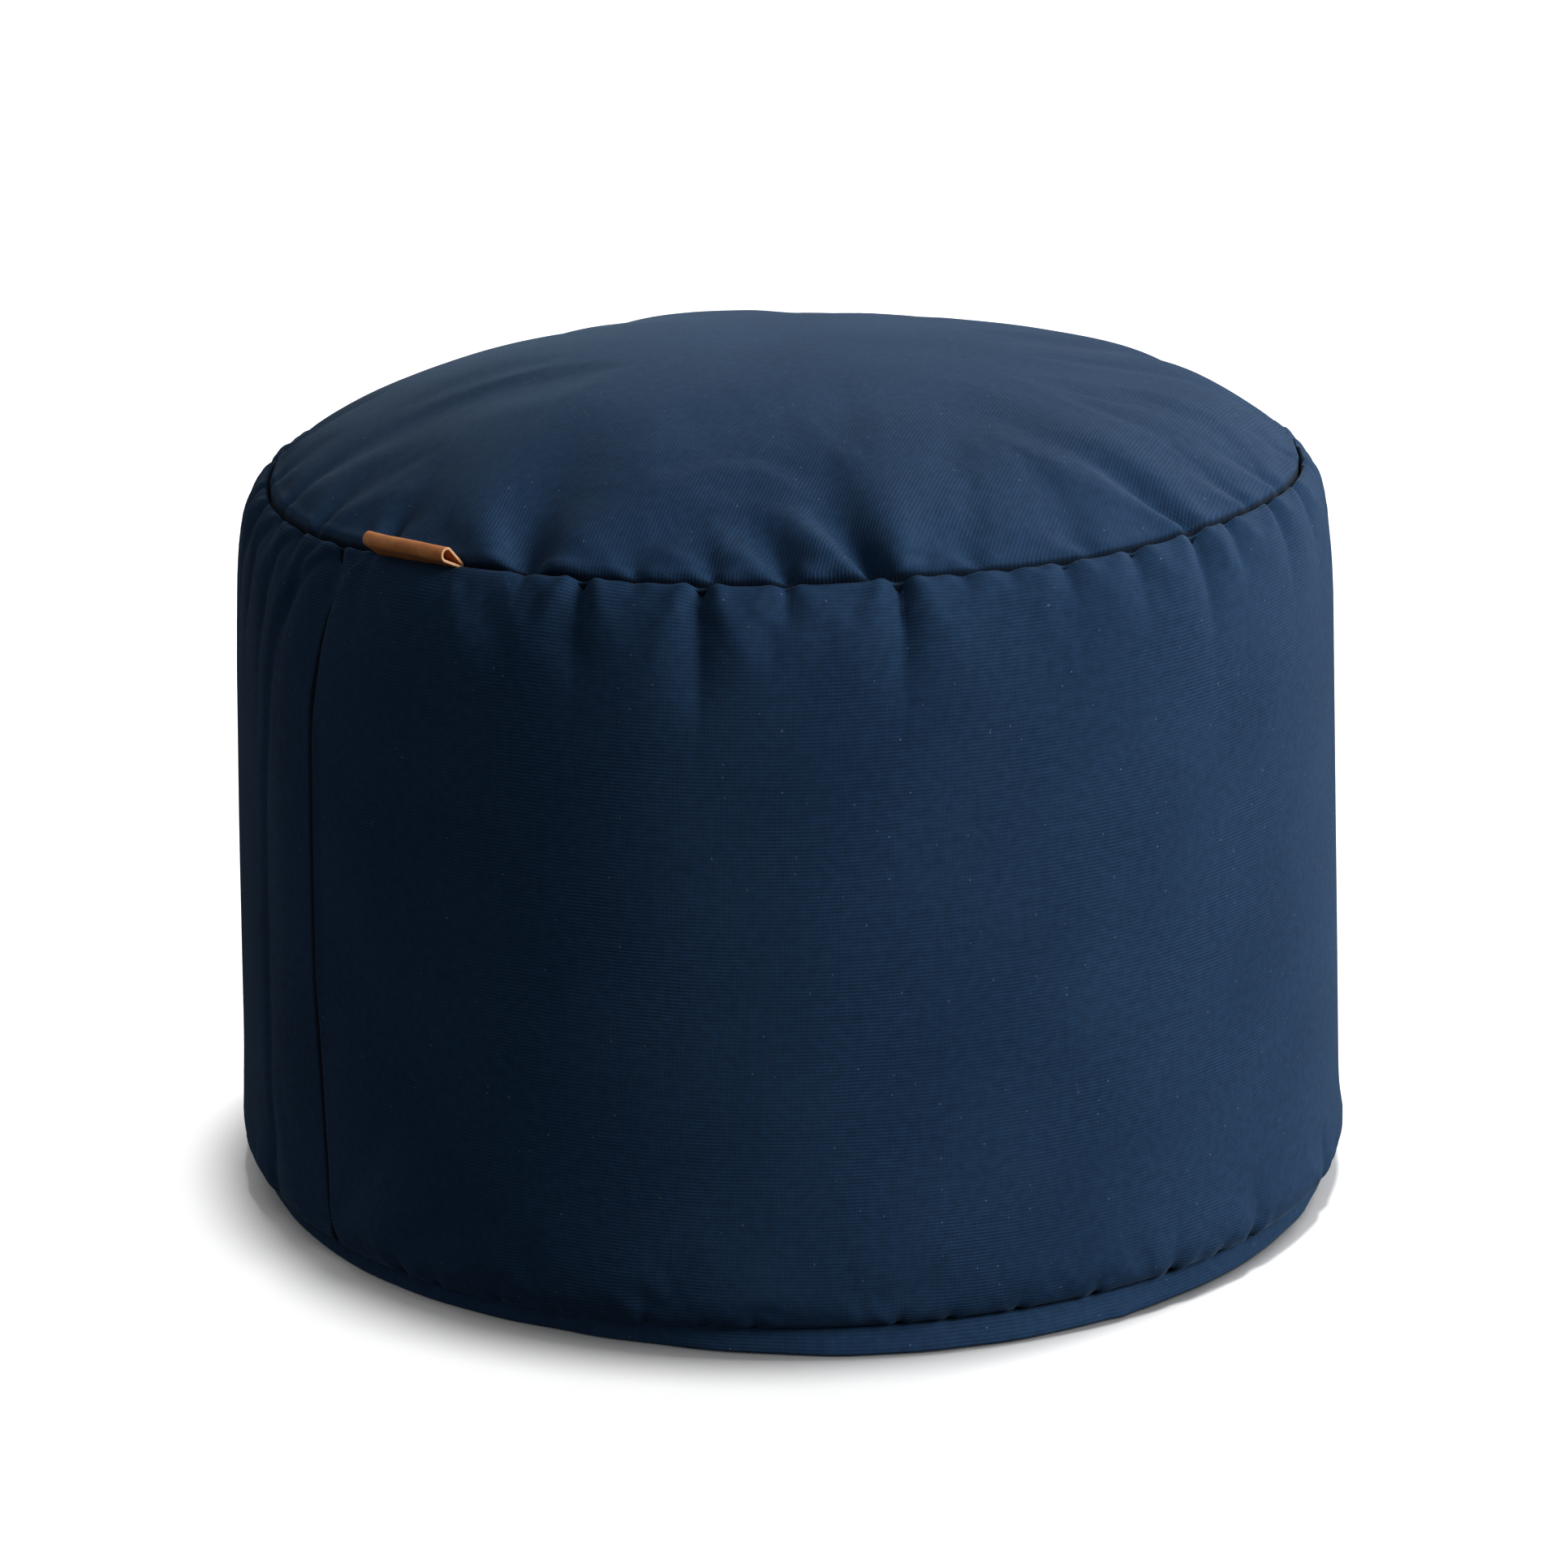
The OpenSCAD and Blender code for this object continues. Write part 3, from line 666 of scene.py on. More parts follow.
def make_welt():
    """A folded strip that hangs from the base seam: two plies that meet in a round fold at the floor."""
    cols = 640
    a = np.arange(cols) * 2 * np.pi / cols
    lowest = 0.3 * MM + 0.25 * MM * np.abs(wander(a, 31, 4, 13))
    flare = 5.0 * MM * hill(apart(a, rad(18)), rad(24)) - 1.2 * MM * hill(apart(a, rad(-26)), rad(24))
    lean = 0.8 * MM + flare + 0.5 * MM * wander(a, 32, 3, 12) + 0.25 * MM * wander(a, 33, 20, 50)
    lap = hill(apart(a, rad(33.5)), rad(1.1))
    top_z = BASE_H - 0.3 * MM
    fold_r = 0.85 * MM
    fold_z = lowest + fold_r
    outer_r, inner_r = WELT_R - 0.1 * MM, WELT_R - 1.9 * MM
    down = np.array([0, 0.04, 0.08, 0.14, 0.24, 0.4, 0.6, 0.8, 1])
    section = [(outer_r, top_z + d) for d in TURN_IN[::-1]]
    section += [(outer_r + (lean + 1.0 * MM * lap) * t, top_z + (fold_z - top_z) * t) for t in down]
    foot_r = section[-1][0] - fold_r
    section += [(foot_r + fold_r * math.cos(w), fold_z - fold_r * math.sin(w))
                for w in np.linspace(0, math.pi, 8)[1:-1]]
    section += [(inner_r + (foot_r - fold_r - inner_r) * t, top_z + (fold_z - top_z) * t) for t in down[::-1]]
    section += [(inner_r, top_z + d) for d in TURN_IN]
    p = np.stack([polar(r, a, z + 0 * a) for r, z in section])
    p[..., 0] += BASE_SHIFT
    run = np.cumsum(np.linalg.norm(np.diff(p[:, 0], axis=0, prepend=p[:1, 0]), axis=-1))
    uvs = np.stack(np.meshgrid(a * WELT_R, run), -1).reshape(-1, 2)
    # Painted shade along the welt's top, in the base seam under the side panel's edge.
    groove = np.stack([shadow_line(np.maximum(0, top_z - z) + 0 * a, 0.3, 0.9) for _, z in section])
    piece = cloth_piece("base_welt_cloth", p.reshape(-1, 3), grid_faces(len(p), cols, True), uvs, 0.7 * MM,
                        "base_welt", groove=groove.ravel())
    return piece


# ---- Leather tab ----
def make_tab(skin_material, edge_material):
    """A strip of leather folded into a loop, with both its ends caught in the top seam."""
    t, bulb, reach, leg = 1.0 * MM, 2.9 * MM, 9.4 * MM, 1.1 * MM
    spread = math.asin(bulb / reach)
    fold = [(reach + bulb * math.cos(w), bulb * math.sin(w))
            for w in np.linspace(-math.pi / 2 - spread, math.pi / 2 + spread, 26)]
    low = [(fold[0][0] * k, fold[0][1] * k - leg * (1 - k)) for k in np.linspace(0, 1, 9)[:-1]]
    high = [(fold[-1][0] * k, fold[-1][1] * k + leg * (1 - k)) for k in np.linspace(1, 0, 9)[1:]]
    loop = np.array(low + fold + high)
    tail = np.array([6.5, 4, 2, 0.8]) * MM
    across = np.linspace(-TAB_WIDTH / 2, TAB_WIDTH / 2, 40)
    turned = np.array(Matrix.Rotation(TAB_MIDDLE - math.pi / 2, 3, "Z"))
    rows = []
    for y in across:
        lift = rad(41) - rad(6) * y / (TAB_WIDTH / 2)
        c, s = math.cos(lift), math.sin(lift)
        path = (loop @ np.array([[c, s], [-s, c]])).tolist()
        path = np.array([(leg, -d) for d in tail] + path + [(-leg, -d) for d in tail[::-1]])
        seam = float(seam_height(np.array(TAB_MIDDLE + y / SEAM_R))) - 0.7 * MM
        curl = (0.25 * math.sin(y * 90) + 0.12 * math.sin(y * 210 + 1)) * MM
        edge_r = SEAM_R + 0.1 * MM - y * y / (2 * SEAM_R)
        rows.append([(edge_r + x, y, seam + z + curl * max(0, x / reach)) for x, z in path])
    rows = np.array(rows)
    run = np.cumsum(np.linalg.norm(np.diff(rows[0], axis=0, prepend=rows[0][:1]), axis=-1))
    uvs = np.stack(np.meshgrid(run, across), -1).reshape(-1, 2)
    skin = grid_faces(len(across), len(run), False)
    verts, faces = thickened(rows.reshape(-1, 3) @ turned.T, skin, t)
    piece = new_piece("leather_tab_loop", verts, faces, "tab_leather", np.concatenate([uvs, uvs]))
    bevel = piece.modifiers.new("worn edge", "BEVEL")
    bevel.width, bevel.segments, bevel.limit_method, bevel.angle_limit = 0.16 * MM, 2, "ANGLE", rad(50)
    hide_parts("leather_tab")
    piece.data.materials.append(skin_material)
    piece.data.materials.append(edge_material)
    for face in piece.data.polygons[2 * len(skin):]:
        face.material_index = 1


# ---- Zips ----
def make_tape(name, side):
    """One woven tape, with a slightly uneven underside."""
    lo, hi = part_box(f"{name}_tape_{side}")
    y, x = grid(np.linspace(lo.y, hi.y, 14), np.linspace(lo.x, hi.x, 260))
    low = lo.z + 0.06 * MM + 0.04 * MM * np.sin(x * 300) * np.sin(y * 500)
    p = np.stack([x, y, low], -1)
    piece = cloth_piece(f"{name}_tape_{side}_woven", p.reshape(-1, 3), grid_faces(*y.shape, False),
                        p[..., :2].reshape(-1, 2), hi.z - lo.z - 0.1 * MM, f"{name}_tape_{side}", "zip_tape")
    return piece


def flattened(wave):
    """A wave of -1 to 1 with longer stretches near its ends."""
    return np.sign(wave) * np.abs(wave) ** 0.7


def make_coil(name, side):
    """One side's spiral: a single filament wound in flattened turns, with a head at each turn."""
    lo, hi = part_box(f"{name}_coil_{side}")
    sign = -1 if side == "front" else 1
    pitch, wire = 1.6 * MM, 0.34 * MM
    turns = int((hi.x - lo.x - 2 * wire) / pitch)
    steps, around = 12, 6
    t = np.arange(turns * steps + 1) / steps
    mid_y, mid_z = (lo.y + hi.y) / 2, (lo.z + hi.z) / 2
    half_y, half_z = (hi.y - lo.y) / 2 - wire, (hi.z - lo.z) / 2 - wire
    turn = 2 * np.pi * t
    x = (lo.x + hi.x) / 2 + pitch * (t - turns / 2 + 0.25 * sign)
    x = np.clip(x, lo.x + wire, hi.x - wire)
    y, z = mid_y + half_y * flattened(np.cos(turn)), mid_z + half_z * flattened(np.sin(turn))
    line = np.stack([x, y, z], -1)
    heads = 1 + 0.35 * hill(np.cos(turn) * -sign - 1, 0.25)
    verts, faces = tube(line, wire * heads / 1.15, around)
    piece = new_piece(f"{name}_coil_{side}_wound", verts, faces, "zip_coil")
    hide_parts(f"{name}_coil_{side}")
    return piece


def tube(line, radius, around):
    """A closed tube along a line of points."""
    step = np.gradient(line, axis=0)
    step /= np.linalg.norm(step, axis=-1, keepdims=True)
    side = np.cross(step, np.array([0.3, 0.2, 1.0]))
    side /= np.linalg.norm(side, axis=-1, keepdims=True)
    up = np.cross(side, step)
    w = np.arange(around) * 2 * np.pi / around
    radius = np.broadcast_to(radius, (len(line),))[:, None, None]
    w = w[None, :, None]
    rings = line[:, None] + radius * (np.cos(w) * side[:, None] + np.sin(w) * up[:, None])
    faces = grid_faces(len(line), around, True)
    last = (len(line) - 1) * around
    faces += [tuple(range(around)), tuple(last + k for k in reversed(range(around)))]
    return rings.reshape(-1, 3), faces


def make_stitches(y_from, height, length):
    """Two rows of lockstitches that hold the cover to the tapes."""
    pitch, thread = 3.0 * MM, 0.22 * MM
    verts, faces, count = [], [], 0
    for sign in (-1, 1):
        for x in np.arange(-length / 2, length / 2, pitch):
            t = np.linspace(0, 1, 6)
            line = np.stack([x + pitch * 0.85 * t, sign * y_from + 0 * t,
                             height - 0.25 * MM * np.sin(math.pi * t) + 0.15 * MM], -1)
            v, f = tube(line, thread, 6)
            verts.append(v)
            faces += [tuple(i + count for i in g) for g in f]
            count += len(v)
    return new_piece("cover_zip_stitches", np.concatenate(verts), faces, "cover_fabric")


def rounded(w, h, r, cx=0.0, cy=0.0, steps=5):
    """Outline of a rounded rectangle, anticlockwise."""
    points = []
    for k, (sx, sy) in enumerate(((1, 1), (-1, 1), (-1, -1), (1, -1))):
        x, y = cx + sx * (w / 2 - r), cy + sy * (h / 2 - r)
        for i in range(steps + 1):
            turn = (k + i / steps) * math.pi / 2
            points.append((x + r * math.cos(turn), y + r * math.sin(turn)))
    return np.array(points)


def slab(outline, lo, hi, bevel, to=lambda u, v, w: (u, v, w)):
    """A closed plate with round edges: an outline in two directions, from lo to hi in the third."""
    ahead = np.roll(outline, -1, 0) - np.roll(outline, 1, 0)
    inward = np.stack([-ahead[:, 1], ahead[:, 0]], -1)
    inward /= np.linalg.norm(inward, axis=-1, keepdims=True)
    rings = []
    for w in (0, 30, 60, 90):
        rings.append((outline + inward * bevel * (1 - math.sin(rad(w))), lo + bevel * (1 - math.cos(rad(w)))))
    rings += [(ring, lo + hi - z) for ring, z in rings[::-1]]
    n = len(outline)
    verts = [to(u, v, z) for ring, z in rings for u, v in ring]
    faces = [(r * n + k, r * n + (k + 1) % n, (r + 1) * n + (k + 1) % n, (r + 1) * n + k)
             for r in range(len(rings) - 1) for k in range(n)]
    last = (len(rings) - 1) * n
    faces += [tuple(reversed(range(n))), tuple(last + k for k in range(n))]
    return np.array(verts), faces


def joined(parts):
    """Several meshes as one."""
    verts, faces, count = [], [], 0
    for v, f in parts:
        verts.append(v)
        faces += [tuple(i + count for i in g) for g in f]
        count += len(v)
    return np.concatenate(verts), faces


def make_stops(name):
    """The clamps at the ends of the chain: two at the top and one at the bottom."""
    made = []
    for node in (name + "_top_stops", name + "_bottom_stop"):
        lo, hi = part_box(node)
        if node.endswith("top_stops"):
            w = 2.4 * MM
            spots = [(lo.x, lo.y, hi.x, lo.y + w), (lo.x, hi.y - w, hi.x, hi.y)]
        else:
            spots = [(lo.x, lo.y, hi.x, hi.y)]
        parts = []
        for x0, y0, x1, y1 in spots:
            outline = rounded(x1 - x0, y1 - y0, 0.5 * MM, (x0 + x1) / 2, (y0 + y1) / 2)
            parts.append(slab(outline, lo.z, hi.z, 0.45 * MM))
        piece = new_piece(node + "_clamp", *joined(parts), "zip_metal")
        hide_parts(node)
        made.append(piece)
    return made


def make_slider(name, bridge):
    """Two shield-shaped plates on a neck, with flanges, and a bridge where the slider has a pull."""
    lo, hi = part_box(name)
    cx, cy = lo.x + 6 * MM, (lo.y + hi.y) / 2
    width = hi.y - lo.y
    top = hi.z
    outer_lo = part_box(name.replace("slider", "coil_front"))[0].z - 1.7 * MM
    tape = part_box(name.replace("slider", "tape_front"))
    shield = np.array([(cx + x * MM, cy + y * width / 2) for x, y in taper_outline()])
    shield_parts = [slab(shield, outer_lo, outer_lo + 1.3 * MM, 0.35 * MM),
                    slab(shield, top - 1.2 * MM, top, 0.35 * MM)]
    neck = rounded(2 * MM, 0.7 * MM, 0.3 * MM, cx + 4.5 * MM, cy)
    parts = shield_parts + [slab(neck, outer_lo + 0.8 * MM, top - 0.6 * MM, 0.1 * MM)]
    for sign in (-1, 1):
        flange = rounded(9.4 * MM, 0.9 * MM, 0.4 * MM, cx - 0.6 * MM, cy + sign * (width / 2 - 0.55 * MM))
        parts.append(slab(flange, outer_lo + 0.5 * MM, tape[0].z - 0.5 * MM, 0.25 * MM))
    if bridge:
        hinge = Vector((cx + 3.5 * MM, cy, outer_lo - 1.5 * MM))
        for sign in (-1, 1):
            ear_top = outer_lo + 0.9 * MM
            ear = rounded(2.9 * MM, ear_top - lo.z, 0.9 * MM, hinge.x, (lo.z + ear_top) / 2)
            y0 = cy + sign * 2.7 * MM
            parts.append(slab(ear[::-1], y0 - 0.45 * MM, y0 + 0.45 * MM, 0.2 * MM, lambda u, v, w: (u, w, v)))
        pin = np.stack([hinge.x + 0 * np.linspace(0, 1, 9), cy + np.linspace(-3.3, 3.3, 9) * MM,
                        hinge.z + 0 * np.linspace(0, 1, 9)], -1)
        parts.append(tube(pin, 0.58 * MM, 16))
    piece = new_piece(name + "_cast", *joined(parts), "zip_metal", body=body_of(name))
    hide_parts(name)
    return piece


def taper_outline():
    """Outline of a slider plate: places along it in mm, and the width there as a share of its half-width."""
    right = [(-5.9, 0.66), (-5.2, 0.86), (-4, 0.98), (-2, 1.0), (1, 1.0), (3.4, 0.96), (5, 0.82),
             (5.8, 0.55), (6, 0.2)]
    return [(x, -y) for x, y in right] + [(x, y) for x, y in right[::-1]]


def body_of(node):
    """The body that the frame gives a node."""
    return frame["nodes"][node]["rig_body"]


def arc(middle, radius, start, stop, count):
    """Points on a circle round (middle, 0)."""
    return [(middle + radius * math.cos(w), radius * math.sin(w)) for w in np.linspace(start, stop, count)]


def make_pull(name):
    """A flat pull tab with a round hole, on a barrel that turns round the slider's pin."""
    lo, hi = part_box(name)
    length, width = hi.x - 1.3 * MM - lo.x, hi.y - lo.y
    hinge = Vector((hi.x - 1.3 * MM, (lo.y + hi.y) / 2, (lo.z + hi.z) / 2))
    end = width / 2
    outline = arc(end - length, end, -math.pi / 2, -1.5 * math.pi, 21)
    neck = [(6, end / MM), (4.4, 2.6), (3.4, 1.9), (1.1, 1.9)]
    outline += [(-u * MM, v * MM) for u, v in neck] + [(-u * MM, -v * MM) for u, v in neck[::-1]]
    hole = arc(end - length, 1.6 * MM, 0, 2 * math.pi, 25)[:-1]
    curve = bpy.data.curves.new(name, "CURVE")
    curve.dimensions, curve.fill_mode = "2D", "BOTH"
    bevel = 0.25 * MM
    curve.extrude, curve.offset = 0.6 * MM - bevel, -bevel
    curve.bevel_depth, curve.bevel_resolution = bevel, 2
    for ring in (outline, hole):
        spline = curve.splines.new("POLY")
        spline.points.add(len(ring) - 1)
        for point, (u, v) in zip(spline.points, ring):
            point.co = (u, v, 0, 1)
        spline.use_cyclic_u = True
    holder = bpy.data.objects.new(name + "_outline", curve)
    bpy.context.scene.collection.objects.link(holder)
    evaluated = holder.evaluated_get(bpy.context.evaluated_depsgraph_get())
    made = bpy.data.meshes.new_from_object(evaluated)
    verts = np.array([v.co[:] for v in made.vertices])
    flat_faces = [tuple(f.vertices) for f in made.polygons]
    bpy.data.objects.remove(holder)
    verts, flat_faces, _ = welded(verts, flat_faces, verts[:, :2])
    barrel = lathe(0.65 * MM, 1.28 * MM, 3.8 * MM, 24)
    verts, faces = joined([(verts, flat_faces), barrel])
    piece = new_piece(name + "_tab", verts + np.array(hinge), faces, "zip_metal", body=body_of(name))
    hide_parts(name)
    return piece


def lathe(bore, outer, length, steps):
    """A round barrel with a bore, along Y."""
    b = 0.15 * MM
    h = length / 2
    below = [(bore, -h + b), (bore + b, -h), (outer - b, -h), (outer, -h + b)]
    section = below + [(r, -y) for r, y in below[::-1]]
    w = np.arange(steps) * 2 * np.pi / steps
    verts = np.array([[(r * math.cos(t), y, r * math.sin(t)) for t in w] for r, y in section])
    n = len(section)
    faces = [(r * steps + k, r * steps + (k + 1) % steps, ((r + 1) % n) * steps + (k + 1) % steps,
              ((r + 1) % n) * steps + k) for r in range(n) for k in range(steps)]
    return verts.reshape(-1, 3), faces


# ---- Liner and beads ----
LINER_IN = 8 * MM
LINER_SIDE_LOW = 20.6 * MM
LINER_FLAT_R = 196 * MM


def liner_side_grid(rows, cols, inset):
    """The liner's side, inside the cover and clear of its upright seam."""
    a = np.arange(cols) * 2 * np.pi / cols
    up, a = grid(np.linspace(0, 1, rows), a)
    z = LINER_SIDE_LOW + (LINER_SEAM_H - LINER_SIDE_LOW) * up
    whole = (z - BASE_H) / (SEAM_H - BASE_H)
    bulge = side_radius(np.clip(whole, 0.03, 0.9)) - LINER_IN - inset
    seam = 7 * MM * hill(apart(a, rad(-52.5)), rad(4))
    r = bulge - seam
    r = r - (r - (LINER_SEAM_R - 2 * MM - inset)) * (1 - np.sqrt(1 - np.maximum(0, 2 * up - 1) ** 10))
    r = r - (r - (LINER_R - 3 * MM - inset)) * (1 - np.sqrt(1 - np.maximum(0, 1 - 2 * up) ** 8))
    loose = 1.4 * MM * wander(a, 41, 9, 30) * np.sin(math.pi * up) ** 0.5
    loose = loose * (0.6 + 0.4 * np.sin(9 * up + 4 * a))
    p = polar(r - np.abs(loose) * 0.8, a, z - inset * up)
    p[..., 0] += BASE_SHIFT * (1 - whole)
    return p


def liner_top_grid(rows, cols, inset):
    """The liner's top, a little below the cover's."""
    a = np.arange(cols) * 2 * np.pi / cols
    rho, a = grid(np.sin(np.linspace(0.02, 1, rows) * math.pi / 2), a)
    dome = top_outline(rho, a)[..., 2] - SEAM_H
    base = LINER_SEAM_H + 0.3 * MM
    loose = 1.5 * MM * np.abs(wander(a, 42, 6, 24)) * rho ** 2 * (1 - rho ** 6)
    lift = (SEAM_H - LINER_IN - 0.5 * MM - base) * (1 - rho ** 6)
    height = base + lift + dome * (1 - 0.03 * rho) * (1 - rho ** 20) - loose - inset
    return polar((LINER_SEAM_R - 2 * MM - inset) * rho, a, height)


def channel(x, y, half, rise, side, end):
    """The raised channel over a zip: half its length and width, and how far its side and end walls slope."""
    along = ease((half[0] * MM - np.abs(x)) / (end * MM))
    return rise * MM * ease((half[1] * MM - np.abs(y)) / (side * MM)) * along


def liner_floor_height(x, y, inset):
    """Height of the liner's base, which bridges the cover's zip and has a channel for its own."""
    r = np.hypot(x, y)
    edge = LINER_R - 3 * MM - inset
    t = np.clip((r - LINER_FLAT_R) / (edge - LINER_FLAT_R), 0, 1)
    foot = (LINER_SIDE_LOW - 0.3 * MM - LINER_FLOOR) * (1 - np.sqrt(1 - t ** 2))
    over_zip = channel(x, y, (206, 29), 10.8, 9, 7)
    if inset:
        own = channel(x, y - LINER_ZIP_Y, (134, 29), 10.9, 9, 7)
    else:
        own = channel(x, y - LINER_ZIP_Y, (128, 24.5), 6.6, 14, 9)
    return LINER_FLOOR + 0.3 * MM + inset + np.maximum(np.maximum(foot, over_zip), own)


def shift_at(z):
    """How far the pouf leans to the right at the height z."""
    return BASE_SHIFT * (1 - (z - BASE_H) / (SEAM_H - BASE_H))


def shifted_foot(p):
    """Moves the rim of the liner's base to the right with the cover's foot."""
    r = np.hypot(p[..., 0], p[..., 1])
    p[..., 0] += shift_at(p[..., 2]) * ease((r - 185 * MM) / (22 * MM))
    return p


def liner_base_half(front):
    """Half of the liner's base, up to the slot of its zip, which lies behind the middle."""
    angle = np.linspace(-math.pi / 2, math.pi / 2, 161)
    edge = LINER_R - 3 * MM
    x = edge * np.sin(angle)
    far = np.sqrt(np.maximum(0, edge ** 2 - x ** 2))
    gap = 6.4 * MM * ease((124 * MM - np.abs(x)) / (4 * MM))
    middle = LINER_ZIP_Y * ease((edge - np.abs(x)) / (30 * MM))
    middle = np.minimum(middle, far)
    if front:
        near, end = middle - gap, -far
    else:
        near, end = np.minimum(middle + gap, far), far
    t = spaced_both(1.0, 0.006, 1.25, 0.03)
    y = near[None] + (end - near)[None] * t[:, None]
    xx = x[None] + 0 * y
    return np.stack([xx, y, liner_floor_height(xx, y, 0.0)], -1)


def make_liner():
    """The bag that holds the beads: a side, a top and a base with a slot for the zip."""
    p = liner_side_grid(60, 320, 0.0)
    rows, cols = p.shape[:2]
    uv = np.stack(np.meshgrid(np.arange(cols) * 2 * np.pi / cols * LOW_R, p[:, 0, 2]), -1).reshape(-1, 2)
    faces = [f[::-1] for f in grid_faces(rows, cols, True)]
    side = cloth_piece("liner_side_cloth", p.reshape(-1, 3), faces, uv, LINER_T, "liner_side", "liner_fabric")
    p = liner_top_grid(44, 320, 0.0)
    verts, faces, _ = ringed(p, 3 * MM)
    top = cloth_piece("liner_top_cloth", verts, faces, verts[:, :2], LINER_T, "liner_top", "liner_fabric")
    halves = []
    for front in (True, False):
        q = liner_base_half(front)
        f = grid_faces(*q.shape[:2], False)
        halves.append((q.reshape(-1, 3), [g[::-1] for g in f] if front else f))
    verts, faces = joined(halves)
    verts, faces, uv = welded(shifted_foot(verts), faces, verts[:, :2])
    base = cloth_piece("liner_base_cloth", verts, faces, uv, LINER_T, "liner_base", "liner_fabric")
    return [side, top, base]


def make_beads():
    """The filling as one soft mass, dimpled where its outer beads press on the liner."""
    gap = LINER_T + 0.6 * MM
    side = liner_side_grid(70, 384, gap)
    top = liner_top_grid(50, 384, gap)
    rings = np.concatenate([top, side[::-1][1:-1]])
    a = np.arange(384) * 2 * np.pi / 384
    edge = np.hypot(side[0][..., 0] - shift_at(LINER_SIDE_LOW), side[0][..., 1])
    floor_rings = []
    for k in np.sin(np.linspace(1, 0.02, 50) * math.pi / 2):
        ring = polar(edge * k, a, 0.0)
        ring[..., 2] = liner_floor_height(ring[..., 0], ring[..., 1], gap) if k < 1 else side[0][..., 2]
        floor_rings.append(shifted_foot(ring))
    floor = np.stack(floor_rings)
    upper, upper_faces, _ = ringed(np.concatenate([rings, floor[:1]]), 3 * MM)
    lower, lower_faces, _ = ringed(floor[::-1], 3 * MM)
    verts, faces = joined([(upper, upper_faces), (lower, [f[::-1] for f in lower_faces])])
    verts, faces, uv = welded(verts, faces, verts[:, :2])
    piece = new_piece("bead_filling", verts, faces, "beads", uv)
    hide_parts("bead_fill")
    return piece


# ---- Materials ----
class Nodes:
    """A short way to write a material's nodes. Inputs are given as in_Name, or in_0 by number."""

    def __init__(self, name):
        self.material = bpy.data.materials.new(name)
        self.material.use_nodes = True
        self.tree = self.material.node_tree
        self.shader = self.tree.nodes["Principled BSDF"]

    def put(self, socket, value):
        if isinstance(value, bpy.types.NodeSocket):
            self.tree.links.new(value, socket)
        else:
            socket.default_value = value

    def add(self, kind, **values):
        node = self.tree.nodes.new("ShaderNode" + kind)
        for key in [k for k in values if not k.startswith("in_")]:
            setattr(node, key, values[key])
        for key in [k for k in values if k.startswith("in_")]:
            where = key[3:]
            self.put(node.inputs[int(where) if where.isdigit() else where.replace("_", " ")], values[key])
        return node

    def maths(self, operation, *values):
        node = self.add("Math", operation=operation)
        for socket, value in zip(node.inputs, values):
            self.put(socket, value)
        return node.outputs[0]

    def spread(self, value, lo, hi, to_lo=0.0, to_hi=1.0):
        return self.add("MapRange", in_0=value, in_1=lo, in_2=hi, in_3=to_lo, in_4=to_hi).outputs[0]

    def mix(self, factor, a, b):
        node = self.add("Mix", data_type="RGBA")
        for index, value in ((0, factor), (6, a), (7, b)):
            self.put(node.inputs[index], value)
        return node.outputs[2]

    def cloth_place(self, angle=0.0):
        uv = self.add("UVMap", uv_map="cloth").outputs[0]
        return self.add("VectorRotate", rotation_type="Z_AXIS", in_Vector=uv, in_Angle=angle).outputs[0]

    def object_place(self):
        return self.add("TexCoord").outputs["Object"]

    def noise(self, place, scale, detail=3.0):
        return self.add("TexNoise", in_Vector=place, in_Scale=scale, in_Detail=detail)

    def set(self, **values):
        for key, value in values.items():
            self.put(self.shader.inputs[key.replace("_", " ")], value)

    def bump(self, height, distance, strength):
        relief = self.add("Bump", in_Height=height, in_Distance=distance, in_Strength=strength)
        self.set(Normal=relief.outputs[0])


